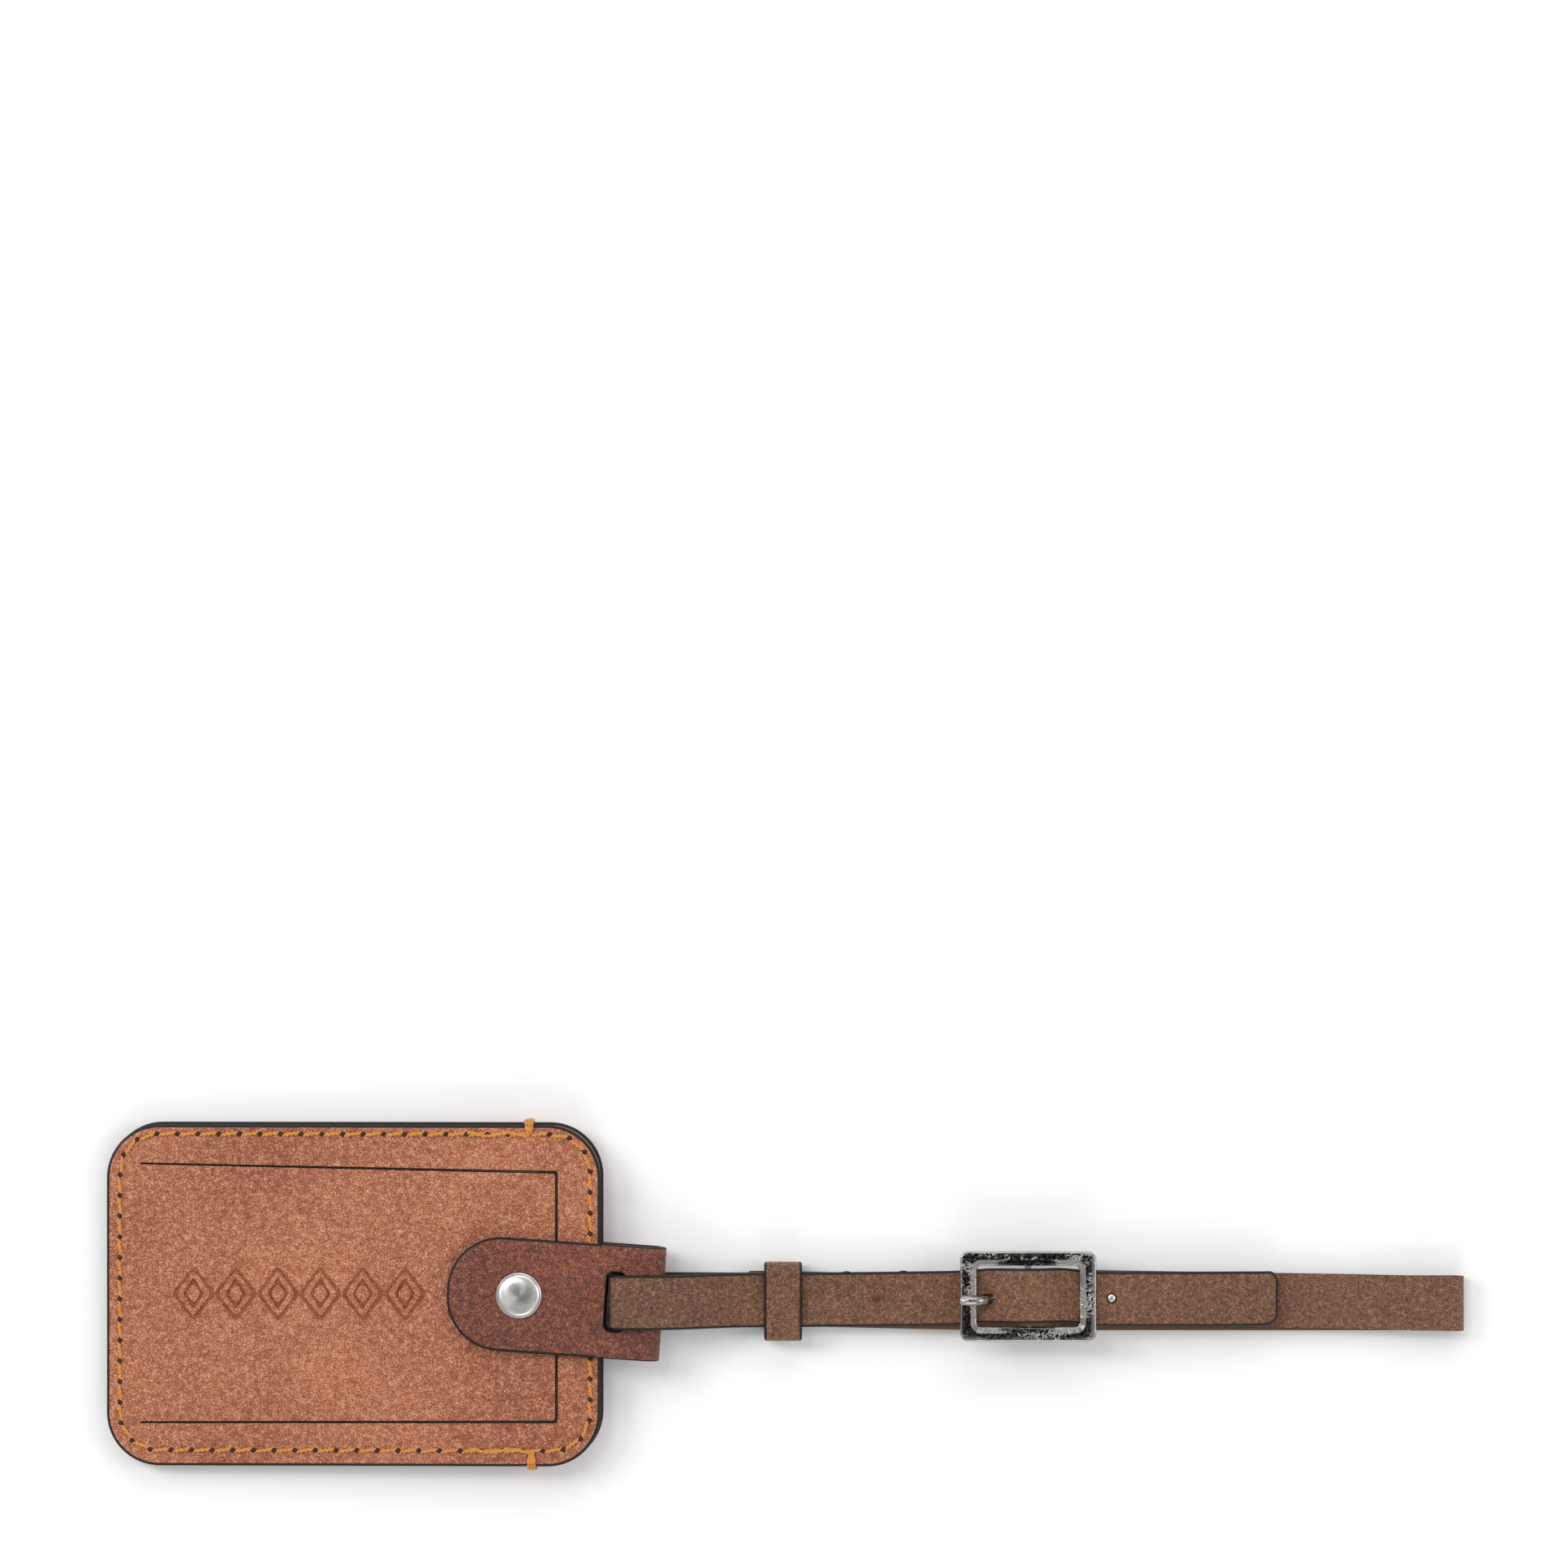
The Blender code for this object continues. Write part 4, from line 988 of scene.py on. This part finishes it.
near_slots += [front_slot[0] - NEAR_END, front_slot[1] + NEAR_END / 2]
pattern = tab_outline(0.0, fold_length)
tab = cut_leather(pattern, slots, TAB_THICK, after(fold_length), segments=TAB_STEPS, scores=near_slots)
score(tab, "x", spread(fold_x - TAB_END - 1.0 * MM, fold_length - 6.0 * MM, 0.6 * MM))
turn_grain(tab)
bend(tab, fold)
hand_over("tab_rear_leather", tab, BROWN_HIDE, "tab", ["tab_rear_and_fold"], TAB)

post_hole = (0.0, 0.0, 3.8 * MM)
pattern = tab_outline(TAB_END, LIFT_LINE)
leg = cut_leather(pattern, [post_hole], TAB_THICK, after(LIFT_LINE), segments=TAB_STEPS, scores=[5.0 * MM])
score(leg, "x", spread(LIFT_LINE - 5.0 * MM, LIFT_LINE - 0.5 * MM, 0.5 * MM))
lift_bend = [TAB @ Vector((x, 0.0, LEG_TOP)) for x in (LIFT_LINE, LIFT_LINE - BEND_LENGTH)]
stand = TAB @ Matrix.Translation((0.0, 0.0, LEG_TOP - TAB_THICK / 2))
lifts = ("tab", "tab_front", *lift_bend)
hand_over("tab_front_leather", leg, BROWN_HIDE, lifts, ["tab_front_leg"], stand)

# %% [markdown]
# Snap, rivets and cap are turned parts: half a profile, spun once round the snap's axis. Spinning with
# the seam merged leaves one closed skin. Its normals are then recalculated, because the way a profile
# was drawn decides whether the spin turns it inside out.

# %% Turned fittings
def turned(profile, steps=48, closed=False):
    """Spins a half profile in millimetres round the upright axis."""
    bm = bmesh.new()
    verts = [bm.verts.new((radius * MM, 0.0, height * MM)) for radius, height in profile]
    pairs = list(zip(verts, verts[1:])) + ([(verts[-1], verts[0])] if closed else [])
    edges = [bm.edges.new(pair) for pair in pairs]
    bmesh.ops.spin(
        bm, geom=verts + edges, axis=(0, 0, 1), cent=(0, 0, 0), angle=2 * pi, steps=steps, use_merge=True
    )
    bmesh.ops.remove_doubles(bm, verts=bm.verts, dist=1e-7)
    bmesh.ops.recalc_face_normals(bm, faces=bm.faces)
    return bm


on_snap = POCKET @ Matrix.Translation(SNAP)
rim = LEG_TOP / MM + 0.02
cap = [(4.6 * sin(radians(a)), rim + 0.42 + 1.0 * cos(radians(a))) for a in range(0, 86, 6)]
cap += [(4.78, rim + 0.42), (4.95, rim + 0.30), (5.0, rim + 0.16), (4.92, rim)]
cap = turned([*cap, (4.4, rim - 0.05), (0.0, rim - 0.05)], 72)
hand_over("snap_cap_dome", cap, (SATIN,), "tab_front", ["snap_cap"], on_snap, sharp=50)

socket = [(2.3, 5.85), (2.5, 5.95), (3.2, 5.95), (3.5, 5.7), (3.55, 5.1)]
socket = turned([*socket, (3.4, 4.85), (2.6, 4.8), (2.3, 4.95), (2.2, 5.4)], closed=True)
hand_over("snap_socket_ring", socket, (SATIN,), "tab_front", ["snap_socket"], on_snap)

stud = [(1.3, 5.2), (1.5, 5.3), (1.78, 5.15), (1.9, 4.9), (1.78, 4.68)]
stud = turned([*stud, (1.8, 4.5), (2.9, 4.45), (3.1, 4.3), (3.0, 4.22), (1.3, 4.22)], closed=True)
hand_over("snap_stud_ring", stud, (SATIN,), "flap", ["snap_stud"], on_snap)

rivet = [(0.0, -1.62), (4.0, -1.6), (4.2, -1.75), (4.15, -1.95), (3.4, -2.3), (2.0, -2.43), (0.0, -2.45)]
rivet = turned(rivet, 60)
hand_over("rear_rivet_dome", rivet, (SATIN,), "tag", ["rear_rivet_cap"], on_snap)

# %% [markdown]
# The strap is one strip with four visible stretches, split only where it is allowed to flex: the bight
# that passes through the tab, the loop with its far fold and its end round the buckle bar, the upper
# layer and the free tip. Every stretch is a flat pattern bent along its side view. Neighbours meet with
# square, unpainted ends and share the same finish.

# %% Strap routes
STRAP_THICK = 1.4 * MM
STRAP_HALF = 5.9 * MM
PLY = 1.7 * MM
HALF_PLY = STRAP_THICK / 2
LIFTED = 1.5 * MM + HALF_PLY
UPPER = LIFTED + PLY
BIGHT_X, BIGHT_RADIUS = -37.2 * MM, 1.2 * MM
FLEX_X = joints["strap_flex"]["pos_m"][0]
TIP_X = joints["tip_lift"]["pos_m"][0]
BAR = Vector(joints["prong_hinge"]["pos_m"])
WRAP = 1.7 * MM
RIGHT = cad_high.x
STRAP_BEND, AFTER_BEND = 6.0 * MM, 1.5 * MM
RIVET = (70.4 * MM, -1.1 * MM)
HOLE_PITCH = 25.4 * MM
HOLE_RADIUS = 1.15 * MM
SPARE_RADIUS = 0.8 * MM
PRONG_HOLE = (42.1 * MM, 45.4 * MM)
TIP_END = 106.4 * MM


def smooth(share):
    share = min(max(share, 0.0), 1.0)
    return share * share * (3 - 2 * share)


def upper_side(x):
    in_buckle = smooth((x - 35.0 * MM) / (11.0 * MM)) * smooth((69.0 * MM - x) / (11.0 * MM))
    drift = 0.8 * MM * min(max((x - BIGHT_X) / (BAR.x - BIGHT_X), 0.0), 1.0) ** 2
    return -1.8 * MM + drift + (0.7 * in_buckle - 0.3 * smooth((x - 56.0 * MM) / (12.0 * MM))) * MM


def lower_side(x):
    if x <= BAR.x:
        return -1.0 * MM - 0.6 * MM * (BAR.x - x) / (BAR.x - BIGHT_X)
    return -1.0 * MM - 1.5 * MM * (x - BAR.x) / (RIGHT - BAR.x)


def loop_side(spot):
    """The lowest layer lies further down across the strap than the layer folded back on it."""
    if spot.z > LIFTED + 0.1 * MM:
        return lower_side(spot.x)
    return lower_side(FLEX_X) - 1.1 * MM * smooth((spot.x - FLEX_X) / (BAR.x - FLEX_X))


def upper_height(x):
    """The middle of the upper layer: level, over the buckle bar, then down on the folded end."""
    crest = BAR.z + WRAP + PLY
    beyond = 3 * PLY + HALF_PLY
    if x <= BAR.x:
        return UPPER + (crest - UPPER) * smooth((x - 36.0 * MM) / (BAR.x - 36.0 * MM))
    return crest + (beyond - crest) * smooth((x - 53.5 * MM) / (9.7 * MM))


bight_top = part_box("strap_bight")[1].z - HALF_PLY
bight_route = ease((FLEX_X, LIFTED), (-26.0 * MM, HALF_PLY))
bight_route += arc(BIGHT_X + BIGHT_RADIUS, HALF_PLY + BIGHT_RADIUS, BIGHT_RADIUS, -90, -180)
bight_route += arc(BIGHT_X + BIGHT_RADIUS, bight_top - BIGHT_RADIUS, BIGHT_RADIUS, 180, 90)
bight_route += ease((-28.0 * MM, bight_top), (FLEX_X, UPPER), 16)

fold_radius = 1.5 * MM
loop_route = [(FLEX_X, LIFTED), (14.0 * MM, LIFTED), *ease((38.0 * MM, LIFTED), (60.0 * MM, HALF_PLY))]
loop_route += arc(RIGHT - fold_radius - HALF_PLY, HALF_PLY + fold_radius, fold_radius, -90, 90, 14)
loop_route += ease((138.0 * MM, HALF_PLY + 2 * fold_radius), (122.0 * MM, HALF_PLY + PLY))
loop_route += ease((68.4 * MM, HALF_PLY + PLY), (BAR.x + 0.5 * MM, BAR.z - WRAP))
loop_route += arc(BAR.x, BAR.z, WRAP, -100, -270, 16)
loop_route += ease((BAR.x + 0.5 * MM, BAR.z + WRAP), (61.5 * MM, HALF_PLY + 2 * PLY))
loop_route.append((75.5 * MM, HALF_PLY + 2 * PLY))

stations = spread(30.0 * MM, 69.0 * MM, 0.75 * MM)
upper_route = [(x, upper_height(x)) for x in (FLEX_X, 10.0 * MM, *stations, TIP_X)]
for name, way in (("bight", bight_route), ("loop", loop_route), ("upper", upper_route)):
    print(name, "is", round(length_of(way) / MM, 1), "mm of strap")

# %% [markdown]
# How far a hole or a slot lies along a strip is read off its route, by walking the route to the x where
# the hole has to be. The grain ends up on the left of a route. The bight's route starts leftwards along
# the bottom, which puts the grain outside. The loop's starts rightwards, so that pattern is turned over.

# %% Strap stretches
STRAP_HIDE = (STRAP_BROWN, EDGE, BROWN_FLESH)
EYE_SLOT_LENGTH = 8.6 * MM
BENT = 0.6 * MM


def along_route(way, x, after=0.0):
    points, lengths, _ = measured(way)
    for i in range(1, len(points)):
        a, b = points[i - 1].x, points[i].x
        if lengths[i] >= after and min(a, b) <= x <= max(a, b) and a != b:
            return lengths[i - 1] + (lengths[i] - lengths[i - 1]) * (x - a) / (b - a)
    raise ValueError("the route never reaches that place")


def strip(way, holes, square, side, fine, pattern=None, slit=nowhere, scores=()):
    outer = pattern or box_outline(0.0, length_of(way), -STRAP_HALF, STRAP_HALF)
    bm = cut_leather(outer, holes, STRAP_THICK, square, slit=slit, scores=scores, slit_finish=0)
    for start, end, step in fine:
        score(bm, "x", spread(start, end, step))
    if way is loop_route:
        turn_grain(bm)
    bend(bm, way, side)
    return bm


def ends(*places):
    return lambda centre: any(abs(centre.x - place) < AT_END for place in places)


def beside(start, end):
    return [start - NEAR_END, end + NEAR_END]


def over(spot):
    return upper_side(spot.x)


flex = ("tab", "strap", (FLEX_X - STRAP_BEND, 0.0, UPPER), (FLEX_X + AFTER_BEND, 0.0, UPPER))
at_flex = (0.5 * MM, STRAP_BEND + 1.0 * MM, BENT)

length = length_of(bight_route)
bight = strip(bight_route, [], ends(0.0, length), over, [(0.5 * MM, length - 0.5 * MM, BENT)])
hand_over("strap_bight_leather", bight, STRAP_HIDE, flex, ["strap_bight"])

length = length_of(loop_route)
far_fold = along_route(loop_route, RIGHT - 4.0 * MM)
near_bar = along_route(loop_route, 68.0 * MM, far_fold + 10.0 * MM)
slot_from = along_route(loop_route, BAR.x + 2.0 * MM, near_bar)
slot_to = slot_from + EYE_SLOT_LENGTH
prong_y = BAR.y - lower_side(BAR.x)
slot = box_outline(slot_from, slot_to, prong_y - 1.4 * MM, prong_y + 1.4 * MM, 1.2 * MM)
fine = [at_flex, (along_route(loop_route, 38.0 * MM), along_route(loop_route, 60.0 * MM), 1.5 * MM)]
fine.append((far_fold - 1.0 * MM, far_fold + 30.0 * MM, BENT))
fine.append((near_bar - 1.0 * MM, length - 12.0 * MM, 0.5 * MM))
loop = strip(loop_route, [slot], ends(0.0), loop_side, fine, scores=beside(slot_from, slot_to))
hand_over("strap_loop_leather", loop, STRAP_HIDE, flex, ["strap_loop"])

spare_x = RIVET[0] - 2 * HOLE_PITCH
spare_hole = (spare_x, upper_side(spare_x))
spare = along_route(upper_route, spare_x)
riveted = along_route(upper_route, RIVET[0])
slot_from, slot_to = (along_route(upper_route, x) for x in PRONG_HOLE)
prong_y = BAR.y - upper_side(PRONG_HOLE[0])
holes = [(spare, 0.0, SPARE_RADIUS), (riveted, RIVET[1] - upper_side(RIVET[0]), HOLE_RADIUS)]
holes.append(box_outline(slot_from, slot_to, prong_y - 1.15 * MM, prong_y + 1.15 * MM, 1.1 * MM))
near_holes = [*beside(spare, spare), *beside(slot_from, slot_to), *beside(riveted, riveted)]
in_strap = lambda centre: abs(centre.y) < 4.0 * MM
in_buckle = (along_route(upper_route, 33.0 * MM), along_route(upper_route, 68.5 * MM), 0.8 * MM)
both_ends = ends(0.0, length_of(upper_route))
upper = strip(upper_route, holes, both_ends, over, [at_flex, in_buckle], slit=in_strap, scores=near_holes)
hand_over("strap_upper_leather", upper, STRAP_HIDE, flex, ["strap_upper"])

# %% [markdown]
# A punch pushes the leather up round the hole that isn't used, which leaves a soft raised lip, and the
# cut fibres nearly close the hole again. The edge paint dries in two small beads on the strap's upper
# edge. Both are low forms that sit on the leather.

# %% Punched lip and beads of paint
lip = [(0.0, -0.55), (0.5, -0.5), (0.78, -0.15), (1.0, 0.2), (1.3, 0.26)]
lip = turned([*lip, (1.6, 0.08), (1.75, -0.1), (1.6, -0.4), (0.0, -0.9)], 40)
for vert in lip.verts:
    vert.co.z += 0.06 * MM * noise.noise(vert.co * 1500.0)
stand = Matrix.Translation((*spare_hole, UPPER + HALF_PLY))
hand_over("spare_hole_lip", lip, (STRAP_BROWN,), "strap", (), stand, sharp=70)

beads = bmesh.new()
for x in (13.1 * MM, 25.4 * MM):
    spot = Matrix.Translation((x, upper_side(x) + STRAP_HALF - 0.15 * MM, UPPER + 0.2 * MM))
    size = Matrix.Diagonal((1.0 * MM, 0.38 * MM, 0.45 * MM, 1.0))
    bmesh.ops.create_uvsphere(beads, u_segments=20, v_segments=10, radius=1.0, matrix=spot @ size)
hand_over("edge_paint_beads", beads, (EDGE,), "strap")

# %% [markdown]
# The free tip ends in two clipped corners. It droops a little, as in the frame, and is scored close
# over its first millimetres, where it would bend up.

# %% Strap tip
TIP_DROP = 1.4 * MM
tip_z = joints["tip_lift"]["pos_m"][2]
tip_route = [(TIP_X + (TIP_END - TIP_X) * t, tip_z - TIP_DROP * t * t) for t in (i / 12 for i in range(13))]
tip_length = length_of(tip_route)
corners = [
    (0.0, -STRAP_HALF),
    (tip_length - 2.6 * MM, -STRAP_HALF),
    (tip_length - 0.9 * MM, -STRAP_HALF + 0.7 * MM),
    (tip_length, -STRAP_HALF + 2.0 * MM),
    (tip_length, STRAP_HALF - 1.5 * MM),
    (tip_length - 1.1 * MM, STRAP_HALF),
    (0.0, STRAP_HALF),
]
radii = [0.0, 1.0 * MM, 0.6 * MM, 0.6 * MM, 0.5 * MM, 0.5 * MM, 0.0]
fine = [(0.4 * MM, 6.0 * MM, 0.5 * MM), (7.5 * MM, tip_length - 3.0 * MM, 1.5 * MM)]
tip = strip(tip_route, [], ends(0.0), over, fine, (corners, radii))
tip_rides = ("strap", "tip", (TIP_X, 0.0, tip_z), (TIP_X + BEND_LENGTH, 0.0, tip_z))
hand_over("strap_tip_leather", tip, STRAP_HIDE, tip_rides, ["strap_tip"])

# %% [markdown]
# The keeper is a short strip bent into a loop round both layers. The route is a rounded rectangle seen
# along the strap, so the bent strip is turned a quarter at the end.

# %% Keeper
KEEPER_THICK = 1.2 * MM
KEEPER_CORNER = 1.3 * MM
keeper_low, keeper_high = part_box("keeper_loop")
wide, tall = keeper_high.y - keeper_low.y - KEEPER_THICK, keeper_high.z - keeper_low.z - KEEPER_THICK
half, lower, upper = wide / 2 - KEEPER_CORNER, KEEPER_CORNER, tall - KEEPER_CORNER
loop_of = [(0.0, 0.0)]
for x, z, turn in ((half, lower, -90), (half, upper, 0), (-half, upper, 90), (-half, lower, 180)):
    loop_of += arc(x, z, KEEPER_CORNER, turn, turn + 90, 6)
loop_of.append((0.0, 0.0))
length = length_of(loop_of)
band_half = (keeper_high.x - keeper_low.x) / 2
keeper = cut_leather(box_outline(0.0, length, -band_half, band_half), [], KEEPER_THICK, ends(0.0, length))
score(keeper, "x", spread(1.0 * MM, length - 1.0 * MM, 0.55 * MM))
turn_grain(keeper)
bend(keeper, loop_of)
middle = (keeper_low + keeper_high) / 2
middle.z = keeper_low.z + KEEPER_THICK / 2
stand = Matrix.Translation(middle) @ Matrix.Rotation(pi / 2, 4, "Z")
hand_over("keeper_leather", keeper, STRAP_HIDE, "keeper", ["keeper_loop"], stand)

# %% [markdown]
# The buckle frame is cast: a flat ring with round corners, all its edges softened by polishing. The
# ring is a filled outline with a hole, given its depth by extrusion. An inset line of edges lets its top
# slope inwards. A lug thickens the middle of each side, where the centre bar is held.

# %% Buckle
FRAME_DEPTH = 1.9 * MM
BAND_WIDTH = 1.35 * MM
INNER_SLOPE, OUTER_SLOPE = 0.68 * MM, 0.05 * MM
OPEN = (11.1 * MM, 6.6 * MM)
LUG = (6.4 * MM, 2.7 * MM, 1.9 * MM)
LUG_INSET = 1.55 * MM

buckle_low, buckle_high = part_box("buckle_frame")
middle = (buckle_low + buckle_high) / 2


def buckle_frame():
    half_x, half_y = (buckle_high.x - buckle_low.x) / 2, (buckle_high.y - buckle_low.y) / 2
    bm = bmesh.new()
    edges = outline_edges(bm, *box_outline(-half_x, half_x, -half_y, half_y, 1.7 * MM), 6)
    edges += outline_edges(bm, *box_outline(-OPEN[0], OPEN[0], -OPEN[1], OPEN[1], 1.0 * MM), 4)
    bmesh.ops.triangle_fill(bm, use_beauty=True, edges=edges, normal=(0.0, 0.0, 1.0))
    thicken(bm, FRAME_DEPTH)
    top = [face for face in bm.faces if face.normal.z > 0.9]
    bmesh.ops.inset_region(bm, faces=top, thickness=BAND_WIDTH, depth=0.0, use_even_offset=True)
    for vert in bm.verts:
        if vert.co.z > -0.1 * MM:
            inside = abs(vert.co.x) < OPEN[0] + 0.1 * MM and abs(vert.co.y) < OPEN[1] + 0.1 * MM
            outside = abs(vert.co.x) > half_x - 0.6 * MM or abs(vert.co.y) > half_y - 0.6 * MM
            vert.co.z -= INNER_SLOPE if inside else OUTER_SLOPE if outside else 0.0
    soften(bm, [edge for edge in bm.edges if edge.calc_face_angle(0.0) > radians(50)], 0.4 * MM, 6)
    return bm


stand = Matrix.Translation((middle.x, middle.y, buckle_high.z))
cast = buckle_frame()
hand_over("buckle_frame_cast", cast, (CAST,), "strap", ["buckle_frame"], stand, sharp=18)


def lug(y):
    """The thicker middle of a side bar, which holds the end of the centre bar."""
    bm = bmesh.new()
    bmesh.ops.create_cube(bm, size=1.0)
    bmesh.ops.scale(bm, verts=bm.verts, vec=LUG)
    bmesh.ops.translate(bm, verts=bm.verts, vec=(BAR.x, y, buckle_low.z + LUG[2] / 2))
    soften(bm, bm.edges[:], 0.5 * MM, 3)
    return bm


hand_over("buckle_lug_top", lug(buckle_high.y - LUG_INSET), (CAST,), "strap")
hand_over("buckle_lug_bottom", lug(buckle_low.y + LUG_INSET), (CAST,), "strap")

# %% [markdown]
# The prong is round bar, bent twice: out from its eye on the centre bar, up through the strap's hole
# and flat across the end bar, with a tapered tip. A ring of edges is extruded along the bends and
# scaled down at the end.

# %% Prong and its eye
PRONG = 1.05 * MM
PRONG_SIDES = 20
UNDER, OVER = BAR.z, buckle_high.z + PRONG
TAPER = (0.62, 0.62, 0.66, 0.74, 0.86, 0.95, 1.0, 1.0, 1.0, 0.94, 0.78, 0.45)

prong_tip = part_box("buckle_prong")[0].x
knots = [(BAR.x - 1.3 * MM, UNDER - 0.5 * MM), (47.8 * MM, UNDER - 1.5 * MM), (45.4 * MM, UNDER - 1.5 * MM)]
knots += [(44.3 * MM, UNDER - 0.8 * MM), (43.3 * MM, UNDER + 0.8 * MM), (42.4 * MM, OVER - 0.7 * MM)]
knots += [(41.5 * MM, OVER - 0.12 * MM), (40.5 * MM, OVER), (39.0 * MM, OVER), (38.3 * MM, OVER - 0.05 * MM)]
knots += [(prong_tip + 0.2 * MM, OVER - 0.15 * MM), (prong_tip, OVER - 0.2 * MM)]
path = [Vector((x, BAR.y, z)) for x, z in knots]
side = Vector((0.0, 1.0, 0.0))
frames = []
for i, point in enumerate(path):
    ahead = heading_at(path, i)
    frames.append(Matrix.Translation(point) @ Matrix((side, ahead.cross(side), ahead)).transposed().to_4x4())
prong = bmesh.new()
ring_and_sweep(prong, frames, PRONG * TAPER[0], PRONG_SIDES, TAPER)
bmesh.ops.recalc_face_normals(prong, faces=prong.faces)
hand_over("buckle_prong_bar", prong, (CAST,), "prong", ["buckle_prong"], sharp=50)

eye = [(0.85, 0.8), (1.0, 0.9), (1.6, 0.9), (1.75, 0.75)]
eye = turned([*eye, (1.75, -0.75), (1.6, -0.9), (1.0, -0.9), (0.85, -0.8)], 32, True)
stand = Matrix.Translation(BAR) @ Matrix.Rotation(pi / 2, 4, "X")
hand_over("buckle_prong_eye", eye, (CAST,), "prong", (), stand)

RIVET_FOOT = 2.1
top = (upper_height(RIVET[0]) + HALF_PLY) / MM - 0.25
head = [(0.0, top + 0.2), (0.6, top + 0.1), (0.95, top - 0.1), (1.12, top - 0.4), (1.0, top - 0.8)]
head = turned([*head, (0.8, top - 0.9), (0.8, RIVET_FOOT), (0.0, RIVET_FOOT)], 32)
stand = Matrix.Translation((*RIVET, 0.0))
hand_over("strap_rivet_head", head, (SATIN,), "strap", ["strap_rivet"], stand)

# %% [markdown]
# Three pieces of the frame are right as they are, and mostly hidden: the post of the snap, the post of
# the rear rivet and the buckle's centre bar. They keep their shape and only get the plain steel finish.

# %% Finishes on what stays
for name in ("snap_post", "rear_rivet_post", "buckle_bar"):
    kept = frame["nodes"][name]
    kept.data.materials.clear()
    kept.data.materials.append(STEEL)
print("kept from the frame: snap_post, rear_rivet_post, buckle_bar")

# %% Finish
low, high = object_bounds()
{"cad": [list(cad_low), list(cad_high)], "visual": [list(low), list(high)]}
print("visual box in mm:", [round(side / MM, 1) for side in high - low])
